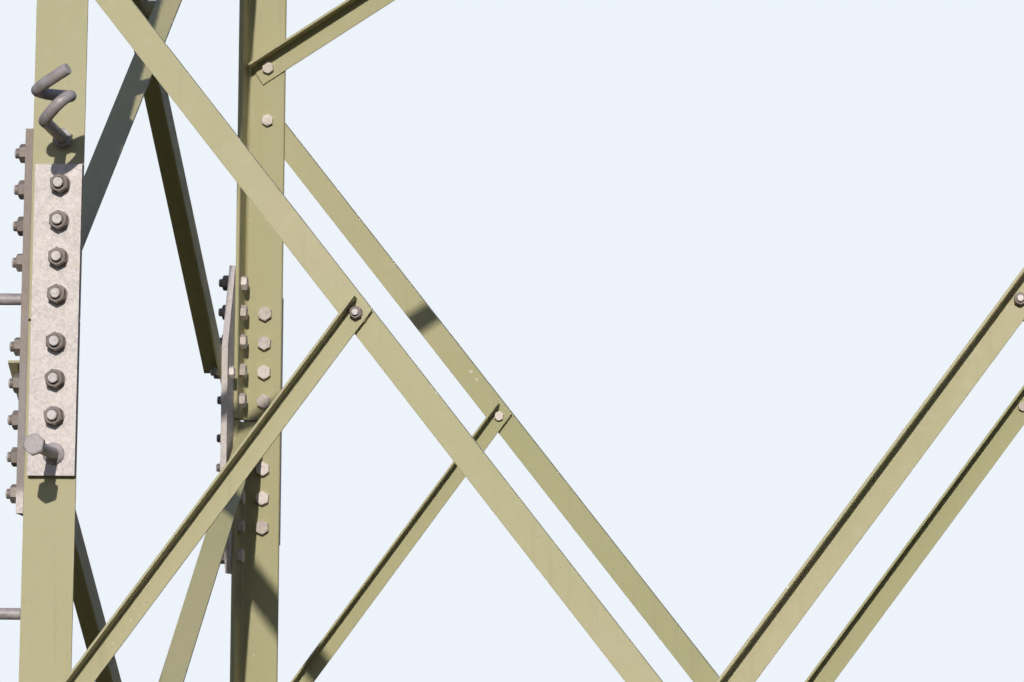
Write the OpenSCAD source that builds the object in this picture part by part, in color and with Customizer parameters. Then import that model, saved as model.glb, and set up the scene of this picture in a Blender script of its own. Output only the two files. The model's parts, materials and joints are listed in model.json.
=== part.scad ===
// Lattice transmission pylon of bolted angle steel, with two crossarms, insulator strings and a peak.
// Millimetres, +Z up. The origin is the middle of the front left foundation's underside.

/* [Body] */
// Width over the legs at ground level
base_w = 2916; // [2600:1:3300]
// How much each leg leans inwards for each unit of height
taper = 0.0227; // [0.018:0.0001:0.03]
// Height of the lowest leg joint
joint_z = 3175; // [2800:1:3400]
// Height of one lattice panel as a share of the width of the body there
pitch_ratio = 0.63; // [0.58:0.001:0.68]
// Height of the lowest bolts of the front and back faces
foot_node_z = 461; // [400:1:600]

/* [Legs] */
// Flange width of the lower and middle legs
leg_b = 110; // [100:1:130]
// Flange thickness of the lower and middle legs
leg_t = 10; // [8:1:14]
// Flange width of the upper legs
top_leg_b = 90; // [80:1:110]
// Flange thickness of the upper legs
top_leg_t = 8; // [6:1:10]
// Root fillet inside the leg angles
root_r = 11; // [4:1:14]
// Rounding of the toes of the leg angles
toe_r = 5; // [2:0.5:5.5]
// Distance of the bolt line from the heel of a lower leg angle
leg_gauge = 65; // [55:1:75]
// Distance of the bolt line from the heel of an upper leg angle
top_leg_gauge = 50; // [42:1:60]

/* [Bracing] */
// Flange width of the main diagonals
diag_b = 60; // [50:1:70]
// Thickness of the main diagonals
diag_t = 6; // [5:1:8]
// Flange width of the short bracing inside the tall foot panels
short_b = 45; // [40:1:60]
// Thickness of the short bracing
short_t = 5; // [4:1:6]
// Distance from a node of the front or back face to the end bolt of each diagonal
front_split = 70; // [50:1:95]
// Distance from a node of a side face to the end bolt of each diagonal
side_split = 40; // [36:1:80]
// Distance on the leg from the level of a tall crossing to the bolt of each short bar
short_split = 51; // [40:1:70]
// Distance from an end bolt to the end of its bar
end_dist = 36; // [25:1:45]
// Distance from an end bolt of the short bracing to the end of its bar
short_end = 26; // [20:1:40]

/* [Splices] */
// Bolt pitch along a leg splice
bolt_pitch = 78; // [70:1:85]
// Distance over the joint between the two middle bolts
joint_gap = 101; // [90:1:115]
// Thickness of the flat splice plates
plate_t = 16; // [10:1:18]
// Thickness of the side gussets
gusset_t = 16; // [10:1:18]
// Distance from the last bolt to the end of a splice plate
plate_end = 45; // [35:1:55]
// How far a side gusset reaches past the flange towards the middle of its face
gusset_reach = 105; // [95:1:130]
// How far past the flange a gusset takes the end bolt of an outer diagonal
gusset_bolt = 70; // [60:1:75]
// Height of that bolt over or under the leg joint
gusset_rise = 115; // [100:1:140]

/* [Crossarms] */
// Height of a crossarm at the body
arm_depth = 1250; // [1000:10:1500]
// Height between the lower arm and the upper arm, over the body panels between them
arm_gap = 3300; // [2800:10:3800]
// Reach of the lower arm from the axis
lower_reach = 7200; // [6500:10:8000]
// Reach of the upper arm from the axis
upper_reach = 5400; // [4800:10:6200]
// Distance from the axis to the inner insulators of the lower arm
inner_hang = 3900; // [3400:10:4400]
// Flange width of the arm chords
chord_b = 75; // [60:1:90]
// Thickness of the arm chords
chord_t = 7; // [6:1:10]
// Flange width of the arm bracing
web_b = 45; // [35:1:60]
// Thickness of the arm bracing
web_t = 5; // [4:1:6]

/* [Peak] */
// Height of the peak over the upper arm
peak_h = 4300; // [3600:10:5000]
// Width over the head of the peak
head_w = 180; // [140:1:260]

/* [Insulators] */
// Length of the porcelain of one rod
rod_len = 1150; // [900:10:1400]
// Diameter of the sheds
shed_d = 150; // [120:1:180]
// Diameter of the core
core_d = 70; // [55:1:85]
// Number of sheds on one rod
sheds = 14; // [10:1:18]
// Distance between the two rods of a string
rod_gap = 560; // [460:1:600]
// Hole for the clamp pin under each yoke
pin_d = 20; // [16:1:24]

/* [Climbing] */
// Distance between step bolts
step_pitch = 333; // [300:1:360]
// Diameter of a step bolt
step_d = 25; // [18:1:26]
// Length of a step bolt outside the leg
step_len = 212; // [180:1:230]
// Diameter of the rod of the rope hook
hook_d = 25; // [18:1:26]
// Distance of the first bend of the rope hook from the leg
hook_out = 232; // [190:1:250]

/* [Foundations] */
// Width of a foundation head
cap_w = 620; // [520:10:760]
// Height of a foundation head
cap_h = 300; // [250:1:340]

/* [Hidden] */
$fn = 24;

// Clearance that every bolted piece keeps from its seat
seat = 0.3;
// Sink of one bar into the next where they are one welded or bolted lattice
lap = 0.5;
lean = atan(taper);
cap_mid = 55;
axis_x = base_w / 2 - cap_mid;
leg_foot_z = 60;

// Width of the body and half of it at height z
function body_w(z) = base_w - 2 * taper * z;
function half_w(z) = body_w(z) / 2;
// Height of node i over the leg joint, where even nodes are on the side faces and odd ones on the front
function level(i) = i == 0 ? joint_z : let (z = level(i - 1)) z + pitch_ratio * body_w(z) / 2;

upper_joint_i = 12;
belt_i = 21;
upper_joint_z = level(upper_joint_i);
belt_1 = level(belt_i);
belt_2 = belt_1 + arm_depth;
belt_3 = belt_2 + arm_gap;
belt_4 = belt_3 + arm_depth;
peak_z = belt_4 + peak_h;
leg_top = belt_4 + 60;
peak_leg_b = 70;
peak_leg_t = 7;
peak_gauge = 38;
peak_end = 26;
peak_split = 34;
peak_lap = 1.2;
belt_split = 110;
packer_d = 48;
foot_v = 120;
step_head = 16;
step_head_d = 47;
hook_nut_d = 43;
hook_nut_h = 18;
joint_slit = 5;
plate_inset = 9;
collar_h = 10;
plate_collar_d = 46;
bar_collar_d = 36;
top_plate_t = 10;
top_gusset_t = 12;
gusset_flat = 190;
beam_t = 12;
tip_w = 240;
tip_h = 150;
tip_plate_h = 190;
tip_plate_t = 14;
shoe_h = 130;
shoe_t = 10;
side_foot_z = joint_z - pitch_ratio * body_w(joint_z);

// Node heights of the faces, where a belt stands for a node a little above or below it
front_split_i = upper_joint_i + 1;
front_low = [for (i = [1 : 2 : front_split_i]) level(i)];
front_high = [for (i = [front_split_i : 2 : belt_i - 1]) level(i), belt_1 - belt_split + front_split];
side_low = [for (i = [2 : 2 : upper_joint_i - 2]) level(i)];
side_high = [for (i = [upper_joint_i + 2 : 2 : belt_i - 2]) level(i), belt_1 - belt_split + side_split];
function arm_levels(split) = let (d = belt_split - split) [[belt_1 + d, belt_2 - d],
    [belt_2 + d, (belt_2 + belt_3) / 2, belt_3 - d], [belt_3 + d, belt_4 - d]];

// Side, distance beyond the first bend and height of each bend of the rope hook, and where its rod ends
hook_bends = [[9, 0, 15], [71, 28, 63], [5, 56, 75], [76, 80, 122]];
hook_end = 3.82;
hook_step = 0.06;
hook_sides = 10;

// Half length of the flat splice plates and of the side gussets
flat_long = joint_gap / 2 + 3 * bolt_pitch + plate_end;
gusset_long = joint_gap / 2 + 4 * bolt_pitch + plate_end;

// Puts its children on the axis of the body, turned to corner or face k
module around(k) {
    translate([axis_x, axis_x, 0]) rotate([0, 0, 90 * k]) children();
}

// Puts its children in the plane of face k: x along the face, z up its slope, -y outwards
module on_face(k) {
    around(k) translate([0, -base_w / 2, 0]) rotate([-lean, 0, 0]) children();
}

module flange_section(b, t, toe) {
    square([b - toe, t]);
    if (toe > 0) {
        square([b, t - toe]);
        translate([b - toe, t - toe]) circle(toe);
    }
}

module angle_section(b, t, r, toe = 0) {
    difference() {
        union() {
            flange_section(b, t, toe);
            mirror([1, -1]) flange_section(b, t, toe);
            if (r > 0) square([t + r, t + r]);
        }
        if (r > 0) translate([t + r, t + r]) circle(r);
    }
}

// Point of a face on the bolt line of its left leg (s -1) or right leg (s 1), at height z
function leg_point(s, z, gauge) = [s * (half_w(z) - gauge), z / cos(lean)];

// Point on the gusset of a leg joint at height z that takes an outer bar from above (up 1) or below (up -1)
function gusset_point(s, z, b, up) = [s * (half_w(z) - b - gusset_bolt), (z + up * gusset_rise) / cos(lean)];

// Where the line from p to q crosses the line from r to s
function crossing(p, q, r, s) = let (a = q - p, b = s - r, c = r - p)
    p + a * (c[0] * b[1] - c[1] * b[0]) / (a[0] * b[1] - a[1] * b[0]);

// Angle bar along a face from bolt p to bolt q, with its heel up; side -1 is outside the seat and 1 inside it
module face_bar(p, q, b, t, side, seat_y, past = end_dist) {
    d = q - p;
    len = norm(d) + 2 * past;
    y0 = seat_y;
    up = b / 2;
    pts = [[y0, -up], [y0 + side * t, -up], [y0 + side * t, up - t], [y0 + side * b, up - t],
        [y0 + side * b, up], [y0, up]];
    translate([p[0], 0, p[1]])
        rotate([0, -atan2(d[1], d[0]), 0])
        translate([-past, 0, 0])
        rotate([0, 90, 0])
        linear_extrude(len)
        polygon([for (v = pts) [-v[1], v[0]]]);
}

// Round packer at point p of a face, from depth y0 to depth y1
module packer(p, y0, y1) {
    translate([p[0], y0, p[1]]) rotate([-90, 0, 0]) cylinder(d = packer_d, h = y1 - y0);
}

// Outer bar from p to q and inner bar from r to s, on legs of thickness back, with a packer where they cross.
// A lift moves the outer bar out onto a gusset.
module crossed_bars(p, q, r, s, b, t, back, lift = 0) {
    face_bar(p, q, b, t, -1, -seat - lift);
    face_bar(r, s, b, t, 1, back + seat);
    packer(crossing(p, q, r, s), -seat - lift - lap, back + seat + lap);
}

// One crossing pair of diagonals between bolts at heights z1 and z2
module cross_panel(z1, z2, b, t, back, gauge) {
    crossed_bars(leg_point(-1, z1, gauge), leg_point(1, z2, gauge),
        leg_point(-1, z2, gauge), leg_point(1, z1, gauge), b, t, back);
}

// Crossing pair between the gussets of a leg joint at height z and a plain node over or under it, on gussets
// of thickness plate
module gusset_panel(z, plain_z, leg_w, gauge, plate) {
    up = plain_z > z ? 1 : -1;
    end_z = plain_z - up * side_split;
    near_z = z + up * joint_gap / 2;
    b = z + up > upper_joint_z ? short_b : diag_b;
    t = z + up > upper_joint_z ? short_t : diag_t;
    back = z + up > upper_joint_z ? top_leg_t : leg_t;
    held = gusset_point(-up, z, leg_w, up);
    plain = leg_point(up, end_z, gauge);
    crossed_bars(up > 0 ? held : plain, up > 0 ? plain : held, leg_point(-1, max(end_z, near_z), gauge),
        leg_point(1, min(end_z, near_z), gauge), b, t, back, plate);
    packer(plain, -seat - plate - lap, -seat);
}

// Tall crossing panel at the foot of the front and back faces, with short bracing to the legs
module foot_panel() {
    low = leg_point(1, foot_node_z, leg_gauge);
    high = leg_point(1, level(1) - front_split, leg_gauge);
    slope = (high[1] - low[1]) / (high[0] + low[0]);
    mid = low[1] + slope * low[0];
    rise = joint_z / cos(lean) - mid;
    xa = rise / slope;
    cross_panel(foot_node_z, level(1) - front_split, diag_b, diag_t, leg_t, leg_gauge);
    for (up = [-1, 1]) {
        za = mid + up * rise;
        leg_z = mid * cos(lean) + up * short_split;
        left_y = up > 0 ? -seat : leg_t + seat;
        right_y = up > 0 ? leg_t + seat : -seat;
        face_bar(leg_point(-1, leg_z, leg_gauge), [-xa, za], short_b, short_t, -up, left_y, short_end);
        face_bar([xa, za], leg_point(1, leg_z, leg_gauge), short_b, short_t, up, right_y, short_end);
        for (x = [-xa, xa]) packer([x, za], -seat - lap, leg_t + seat + lap);
    }
}

// Panels of a face between the nodes of a list of heights
module panels(z, split, b, t, back, gauge) {
    for (i = [0 : len(z) - 2])
        cross_panel(z[i] + split, z[i + 1] - split, b, t, back, gauge);
}

module front_lower() {
    foot_panel();
    panels(front_low, front_split, diag_b, diag_t, leg_t, leg_gauge);
}

module side_lower() {
    gusset_panel(joint_z, side_foot_z, leg_b, leg_gauge, gusset_t);
    gusset_panel(joint_z, level(2), leg_b, leg_gauge, gusset_t);
    panels(side_low, side_split, diag_b, diag_t, leg_t, leg_gauge);
    gusset_panel(upper_joint_z, level(upper_joint_i - 2), top_leg_b, leg_gauge, top_gusset_t);
    // Bottom bar and the inverted V under it
    low = side_foot_z - side_split;
    left = leg_point(-1, low, leg_gauge);
    right = leg_point(1, low, leg_gauge);
    face_bar(left, right, diag_b, diag_t, 1, leg_t + seat);
    face_bar(leg_point(-1, foot_node_z, leg_gauge), [-foot_v / 2, left[1]], diag_b, diag_t, -1, -seat);
    face_bar([foot_v / 2, left[1]], leg_point(1, foot_node_z, leg_gauge), diag_b, diag_t, -1, -seat);
    for (x = [-foot_v / 2, foot_v / 2]) packer([x, left[1]], -seat - lap, leg_t + seat + lap);
}

module front_upper() {
    panels(front_high, front_split, short_b, short_t, top_leg_t, top_leg_gauge);
    arm_panels(front_split);
}

module side_upper() {
    gusset_panel(upper_joint_z, side_high[0], top_leg_b, top_leg_gauge, top_gusset_t);
    panels(side_high, side_split, short_b, short_t, top_leg_t, top_leg_gauge);
    arm_panels(side_split);
}

// Panels of a face from the lower arm up to the peak
module arm_panels(split) {
    for (z = arm_levels(split)) panels(z, split, short_b, short_t, top_leg_t, top_leg_gauge);
}

// Leg of corner k between heights z1 and z2
module leg(k, z1, z2, b, t) {
    around(k)
        translate([-half_w(z1), -half_w(z1), z1])
        rotate(a = atan(taper * sqrt(2)), v = [-1, 1, 0])
        linear_extrude((z2 - z1) * sqrt(1 + 2 * taper * taper))
        angle_section(b, t, root_r, toe_r);
}

module lower_leg(k) {
    color("darkkhaki") leg(k, leg_foot_z, joint_z - joint_slit / 2, leg_b, leg_t);
}

module middle_leg(k) {
    color("darkkhaki") leg(k, joint_z + joint_slit / 2, upper_joint_z - joint_slit / 2, leg_b, leg_t);
}

module upper_leg(k) {
    color("darkkhaki") leg(k, upper_joint_z + joint_slit / 2, leg_top, top_leg_b, top_leg_t);
}

// Concrete head with a sloped top, cut out for the foot of its leg
module foundation(k) {
    slope_h = 60;
    top_w = cap_w - 2 * 110;
    color("gainsboro") difference() {
        around(k) translate([-axis_x, -axis_x, 0]) {
            intersection() {
                rotate([90, 0, 0]) linear_extrude(cap_w, center = true) cap_outline(top_w, slope_h);
                rotate([90, 0, 90]) linear_extrude(cap_w, center = true) cap_outline(top_w, slope_h);
            }
        }
        around(k)
            translate([-half_w(leg_foot_z) - seat, -half_w(leg_foot_z) - seat, leg_foot_z - seat])
            rotate(a = atan(taper * sqrt(2)), v = [-1, 1, 0])
            linear_extrude(cap_h)
            angle_section(leg_b + 2 * seat, leg_t + 2 * seat, 0);
    }
}

module cap_outline(top_w, slope_h) {
    polygon([[-cap_w / 2, 0], [cap_w / 2, 0], [cap_w / 2, cap_h - slope_h], [top_w / 2, cap_h],
        [-top_w / 2, cap_h], [-cap_w / 2, cap_h - slope_h]]);
}

// Flat plate on the outside of a leg flange of a face, on the left with s -1 or on the right with s 1. It keeps
// off the rounded heel.
module flat_splice(z, b, t, s) {
    translate([s * half_w(z), 0, z])
        rotate([0, -s * lean, 0])
        translate([s > 0 ? -b : plate_inset, -seat - t, -flat_long])
        cube([b - plate_inset, t, 2 * flat_long]);
}

// Side gusset that joins a leg and takes the bracing of its node
module gusset_splice(z, b, t, s) {
    long = gusset_long;
    wide = b + gusset_reach;
    translate([s * half_w(z), 0, z])
        rotate([0, -s * lean, 0])
        rotate([90, 0, 0])
        translate([0, 0, seat])
        linear_extrude(t)
        polygon([for (p = [[0, -long], [b, -long], [wide, -gusset_flat], [wide, gusset_flat], [b, long], [0, long]])
            [-s * p[0], p[1]]]);
}

module splice_set(z, b, flat, gusset) {
    color("silver") {
        for (k = [0, 2], s = [-1, 1]) on_face(k) flat_splice(z / cos(lean), b, flat, s);
        for (k = [1, 3], s = [-1, 1]) on_face(k) gusset_splice(z / cos(lean), b, gusset, s);
    }
}

// Free angle bar from p to q in the frame of the body
module strut(p, q, b, t, turn) {
    d = q - p;
    translate(p)
        rotate([0, acos(d[2] / norm(d)), atan2(d[1], d[0])])
        rotate([0, 0, turn])
        linear_extrude(norm(d))
        angle_section(b, t, 0);
}

// Ring of four horizontal bars inside the legs with crossed bars between them
module belt_frame(z, ring_b, ring_t) {
    w = half_w(z) - top_leg_t - seat - taper * ring_b;
    for (k = [0 : 3]) rotate([0, 0, 90 * k]) {
        translate([-w, -w, z - ring_b]) cube([2 * w, ring_t, ring_b]);
        translate([-w, -w, z - ring_t]) cube([2 * w, ring_b, ring_t]);
    }
    for (k = [0 : 1]) rotate([0, 0, 45 + 90 * k])
        translate([-w * sqrt(2) + ring_b, -web_b / 2, z - ring_t - web_t + lap - k * (web_t - lap)])
        cube([2 * w * sqrt(2) - 2 * ring_b, web_b, web_t]);
}

module belt_frames() {
    color("darkkhaki") around(0)
        for (z = [belt_1, belt_2, belt_3, belt_4]) belt_frame(z, short_b, short_t);
}

// Angle chord from p to q in the plane of an arm side, with one flange down or up in the plane and one inwards
module chord(p, q, up) {
    d = q - p;
    h = up ? chord_b : -chord_b;
    ht = up ? chord_t : -chord_t;
    translate([p[0], 0, p[1]])
        rotate([0, -atan2(d[1], d[0]), 0])
        rotate([0, 90, 0])
        linear_extrude(norm(d))
        polygon([for (v = [[0, 0], [0, h], [chord_t, h], [chord_t, ht], [chord_b, ht], [chord_b, 0]])
            [-v[1], v[0]]]);
}

// Front side of an arm in its own plane: chords, posts on the inside and diagonals on the outside
module arm_side(len, depth, bays) {
    inset = chord_b / 2;
    from_node = 0.26;
    to_node = 0.9;
    function low(f) = [len * f, inset];
    function high(f) = [len * f, depth + (tip_h - depth) * f - inset];
    chord([0, 0], [len, 0], true);
    chord([-taper * depth, depth], [len, tip_h], false);
    for (i = [1 : bays - 1]) face_bar(low(i / bays), high(i / bays), web_b, web_t, 1, chord_t - lap);
    for (i = [0 : bays - 2])
        face_bar(low((i + from_node) / bays), high((i + to_node) / bays), web_b, web_t, -1, lap);
}

// Plate that bolts the end of an arm chord to the side flange of its leg
module shoe(z) {
    translate([half_w(z) + seat, -half_w(z), z])
        rotate([0, -lean, 0])
        translate([0, 0, -shoe_h / 2])
        cube([shoe_t, top_leg_b, shoe_h]);
}

// Right half of a crossarm between belts z1 and z2, reaching out to x
module arm(z1, z2, reach, bays) {
    x0 = half_w(z1) + seat;
    y0 = half_w(z1) + seat;
    len = norm([reach - x0, y0 - tip_w / 2]);
    turn = atan2(y0 - tip_w / 2, reach - x0);
    for (m = [0, 1]) mirror([0, m, 0]) {
        translate([x0, -y0, z1]) rotate([0, 0, turn]) rotate([-lean, 0, 0]) arm_side(len, z2 - z1, bays);
        for (z = [z1, z2]) shoe(z);
    }
    // Zigzag on the floor of the arm, on the inward flanges of the chords
    sink = 2;
    end_gap = 0.1;
    for (i = [0 : bays - 1]) {
        fa = (i + end_gap) / bays;
        fb = (i + 1 - end_gap) / bays;
        s = i % 2 == 0 ? 1 : -1;
        ya = y0 + (tip_w / 2 - y0) * fa - chord_b / 2;
        yb = y0 + (tip_w / 2 - y0) * fb - chord_b / 2;
        z = z1 + chord_t - sink;
        strut([x0 + (reach - x0) * fa, -s * ya, z], [x0 + (reach - x0) * fb, s * yb, z], web_b, web_t, 90);
    }
    translate([reach - tip_plate_t, -tip_w / 2 - 10, z1 - 6]) cube([tip_plate_t, tip_w + 20, tip_plate_h]);
}

// Cross plate under a crossarm that carries one string
module hang_beam(x, z1, wide) {
    translate([x - rod_gap / 2 - 60, -wide / 2, z1 - beam_t + lap]) cube([rod_gap + 120, wide, beam_t]);
}

module crossarm(right, z1, z2, reach, bays, hangs) {
    color("darkkhaki") around(0) mirror([right ? 0 : 1, 0, 0]) {
        arm(z1, z2, reach, bays);
        for (x = hangs) {
            f = (x - half_w(z1)) / (reach - half_w(z1));
            hang_beam(x, z1, 2 * (half_w(z1) + (tip_w / 2 - half_w(z1)) * f) - 4);
        }
    }
}

// Distances of the strings from the axis, with the outer one of each arm under its tip
tip_hang = rod_gap / 2 + 80;
lower_hangs = [inner_hang, lower_reach - tip_hang];
upper_hangs = [upper_reach - tip_hang];
rod_top = 220;
cap_len = 90;

// One porcelain rod with its sheds, hanging down from z
module rod(z) {
    step = rod_len / sheds;
    translate([0, 0, z - rod_len]) rotate_extrude()
        polygon([[0, 0], for (i = [0 : sheds - 1]) each
            [[core_d / 2, i * step], [core_d / 2, i * step + step * 0.3],
             [shed_d / 2, i * step + step * 0.42], [shed_d / 2, i * step + step * 0.5],
             [core_d / 2, i * step + step * 0.8]],
            [core_d / 2, rod_len], [0, rod_len]]);
}

module strings(right, hangs, z1) {
    color("saddlebrown") around(0) mirror([right ? 0 : 1, 0, 0])
        for (x = hangs, s = [-1, 1]) translate([x + s * rod_gap / 2, 0, 0]) rod(z1 - rod_top);
}

// Hanger over one rod, and the cap that holds the top of the porcelain
module hanger(z) {
    translate([-8, -30, z - beam_t + lap - seat - 110]) cube([16, 60, 110]);
    translate([0, 0, z - rod_top + seat]) cylinder(d = core_d + 20, h = cap_len);
    translate([0, 0, z - rod_top + cap_len]) cylinder(d = 24, h = rod_top - cap_len - 60);
}

// Yoke that joins the lower ends of two rods and takes the clamp pin
module yoke(z) {
    low = z - rod_top - rod_len;
    for (s = [-1, 1]) translate([s * rod_gap / 2, 0, 0]) {
        translate([0, 0, low - cap_len - seat]) cylinder(d = core_d + 20, h = cap_len);
        translate([0, 0, low - cap_len - 60]) cylinder(d = 24, h = 62);
    }
    difference() {
        translate([0, 8, low - cap_len - 40]) rotate([90, 0, 0]) linear_extrude(16)
            polygon([[-rod_gap / 2 - 45, 0], [rod_gap / 2 + 45, 0], [rod_gap / 2 + 45, -50], [45, -190],
                [-45, -190], [-rod_gap / 2 - 45, -50]]);
        translate([0, 20, low - cap_len - 190]) rotate([90, 0, 0]) cylinder(d = pin_d, h = 40);
    }
}

module fittings(right, hangs, z1) {
    color("silver") around(0) mirror([right ? 0 : 1, 0, 0]) for (x = hangs) translate([x, 0, 0]) {
        for (s = [-1, 1]) translate([s * rod_gap / 2, 0, 0]) hanger(z1);
        yoke(z1);
    }
}

// Half width of the peak at height h over its foot, on its own steeper lean
function peak_half(h) = half_w(belt_4) - (half_w(belt_4) - head_w / 2) * h / peak_h;

// Bar on a face of the peak between points given by side and height over its foot
module peak_bar(s, h1, h2, side, peak_lean) {
    x1 = peak_half(h1) - peak_gauge;
    x2 = peak_half(h2) - peak_gauge;
    face_bar([-s * x1, h1 / cos(peak_lean)], [s * x2, h2 / cos(peak_lean)], web_b, web_t, side,
        side < 0 ? peak_lap : peak_leg_t - peak_lap, peak_end);
}

// Peak of four leaning legs with crossed bars on each face, narrower panel by panel
module peak() {
    steep = (half_w(belt_4) - head_w / 2) / peak_h;
    peak_lean = atan(steep);
    foot = leg_top - belt_4 + seat;
    heights = [foot + 70, peak_h * 0.48, peak_h * 0.75, peak_h * 0.91];
    color("darkkhaki") around(0) {
        for (k = [0 : 3]) rotate([0, 0, 90 * k]) {
            intersection() {
                translate([-half_w(belt_4), -half_w(belt_4), belt_4])
                    rotate(a = atan(steep * sqrt(2)), v = [-1, 1, 0])
                    linear_extrude(peak_h * sqrt(1 + 2 * steep * steep))
                    angle_section(peak_leg_b, peak_leg_t, 0);
                translate([-base_w / 2, -base_w / 2, belt_4 + foot]) cube([base_w, base_w, peak_h - foot - 3]);
            }
            translate([0, -half_w(belt_4), belt_4]) rotate([-peak_lean, 0, 0])
                for (i = [0 : 2]) {
                    h1 = heights[i] + peak_split;
                    h2 = heights[i + 1] - peak_split;
                    x1 = peak_half(h1) - peak_gauge;
                    x2 = peak_half(h2) - peak_gauge;
                    peak_bar(1, h1, h2, -1, peak_lean);
                    peak_bar(-1, h1, h2, 1, peak_lean);
                    packer([0, (h1 + (h2 - h1) * x1 / (x1 + x2)) / cos(peak_lean)], -lap, peak_leg_t + lap);
                }
        }
        translate([-head_w / 2 - 4, -head_w / 2 - 4, peak_z - 10]) cube([head_w + 8, head_w + 8, 20]);
    }
}

module earth_wire_bracket() {
    color("silver") around(0) translate([0, 0, peak_z + 10 + seat]) difference() {
        union() {
            translate([-60, -60, 0]) cube([120, 120, 10]);
            translate([-6, -50, 9]) cube([12, 100, 120]);
        }
        translate([-20, 0, 95]) rotate([0, 90, 0]) cylinder(d = pin_d, h = 40);
    }
}

// Step bolt that stands out of the flange at the origin along -y
module step_bolt(collar_d) {
    rotate([90, 0, 0]) {
        cylinder(d = step_d, h = step_len);
        translate([0, 0, step_len - step_head]) rotate(30) cylinder(d = step_head_d, h = step_head, $fn = 6);
        cylinder(d = collar_d, h = collar_h);
    }
}

// Bolts on the climbing leg that a step can take the place of, as height and distance of the outside from the flange
function splice_bolts(z, n, plate) =
    [for (s = [-1, 1], i = [0 : n - 1]) [z + s * (joint_gap / 2 + i * bolt_pitch), plate + seat]];
front_bolts = concat(splice_bolts(joint_z, 4, plate_t), splice_bolts(upper_joint_z, 4, top_plate_t),
    [for (z = front_low) [z + front_split, diag_t + seat]],
    [for (z = [front_high, each arm_levels(front_split)], i = [0 : len(z) - 2])
        [z[i] + front_split, short_t + seat]]);
side_bolts = concat(splice_bolts(joint_z, 5, gusset_t), splice_bolts(upper_joint_z, 5, top_gusset_t),
    [[side_low[0] - side_split, gusset_t + diag_t + seat], [side_high[0] - side_split, top_gusset_t + short_t + seat]],
    [for (z = [belt_1, belt_2, belt_3]) [z + belt_split, 0]],
    [for (i = [1 : len(side_low) - 1]) [side_low[i] - side_split, diag_t + seat]],
    [for (z = [side_high, each arm_levels(side_split)], i = [1 : len(z) - 1])
        [z[i] - side_split, short_t + seat]]);

// Place of a step meant for height z: on the nearest bolt, or on the bare flange where none is near
function step_place(z, bolts) = let (d = min([for (b = bolts) abs(b[0] - z)]))
    d > belt_split ? [z, 0] : [for (b = bolts) if (abs(b[0] - z) == d) b][0];

module step_bolts() {
    first = joint_z + joint_gap / 2;
    color("silver") for (i = [-2 : floor((belt_4 - first) / step_pitch)]) if (i != 1) {
        side = i % 2 == 0;
        place = step_place(first + i * step_pitch, side ? side_bolts : front_bolts);
        z = place[0];
        on_joint = min(abs(z - joint_z), abs(z - upper_joint_z)) < gusset_long;
        collar_d = place[1] > 0 && !on_joint ? bar_collar_d : plate_collar_d;
        gauge = z < upper_joint_z ? leg_gauge : top_leg_gauge;
        on_face(side ? 3 : 0)
            translate([(side ? 1 : -1) * (half_w(z) - gauge), -seat - place[1], z / cos(lean)])
            step_bolt(collar_d);
    }
}

// Point of the rod of the rope hook as [side, distance from the leg, height]. The first stretch runs out from the
// leg to the first bend, and each stretch after it is half a turn, before and behind the middle in turn.
function hook_bend(n) = hook_bends[n] + [0, hook_out, 0];
function hook_point(u) = u < 1 ?
    let (k = u * u * (3 - 2 * u), p = hook_bend(0)) [p[0] * k, p[1] * u, p[2] * k] :
    let (n = floor(u) - 1, a = 180 * (u - 1 - n), k = (1 - cos(a)) / 2, p = hook_bend(n), q = hook_bend(n + 1),
        r = abs(q[0] - p[0]) / 2 * (n % 2 == 0 ? 1 : -1))
    p + (q - p) * k + [0, r * sin(a), 0];

// Ring of points round the rod of the rope hook
function hook_ring(u) =
    let (d = hook_point(u + 0.01) - hook_point(u - 0.01), t = d / norm(d), c = cross(t, [0, 0, 1]),
        side = c / norm(c), up = cross(side, t))
    [for (i = [0 : hook_sides - 1]) let (a = 360 * i / hook_sides)
        hook_point(u) + hook_d / 2 * (cos(a) * side + sin(a) * up)];

// Corkscrew hook for a climbing rope
module rope_anchor() {
    z = joint_z + joint_gap / 2 + step_pitch;
    rings = [for (u = [0.05 : hook_step : hook_end]) [for (p = hook_ring(u)) [p[0], -p[1], p[2]]]];
    n = len(rings);
    color("silver") on_face(0) translate([-(half_w(z) - leg_gauge), -seat, z / cos(lean)]) {
        rotate([90, 0, 0]) cylinder(d = hook_nut_d, h = hook_nut_h, $fn = 6);
        polyhedron([for (r = rings) each r], concat(
            [[for (i = [0 : hook_sides - 1]) i]],
            [for (j = [0 : n - 2], i = [0 : hook_sides - 1]) let (k = (i + 1) % hook_sides, b = j * hook_sides)
                [b + i, b + hook_sides + i, b + hook_sides + k, b + k]],
            [[for (i = [hook_sides - 1 : -1 : 0]) (n - 1) * hook_sides + i]]));
    }
}

module lower_splice_plates() {
    splice_set(joint_z, leg_b, plate_t, gusset_t);
}

module upper_splice_plates() {
    splice_set(upper_joint_z, top_leg_b, top_plate_t, top_gusset_t);
}

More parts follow.
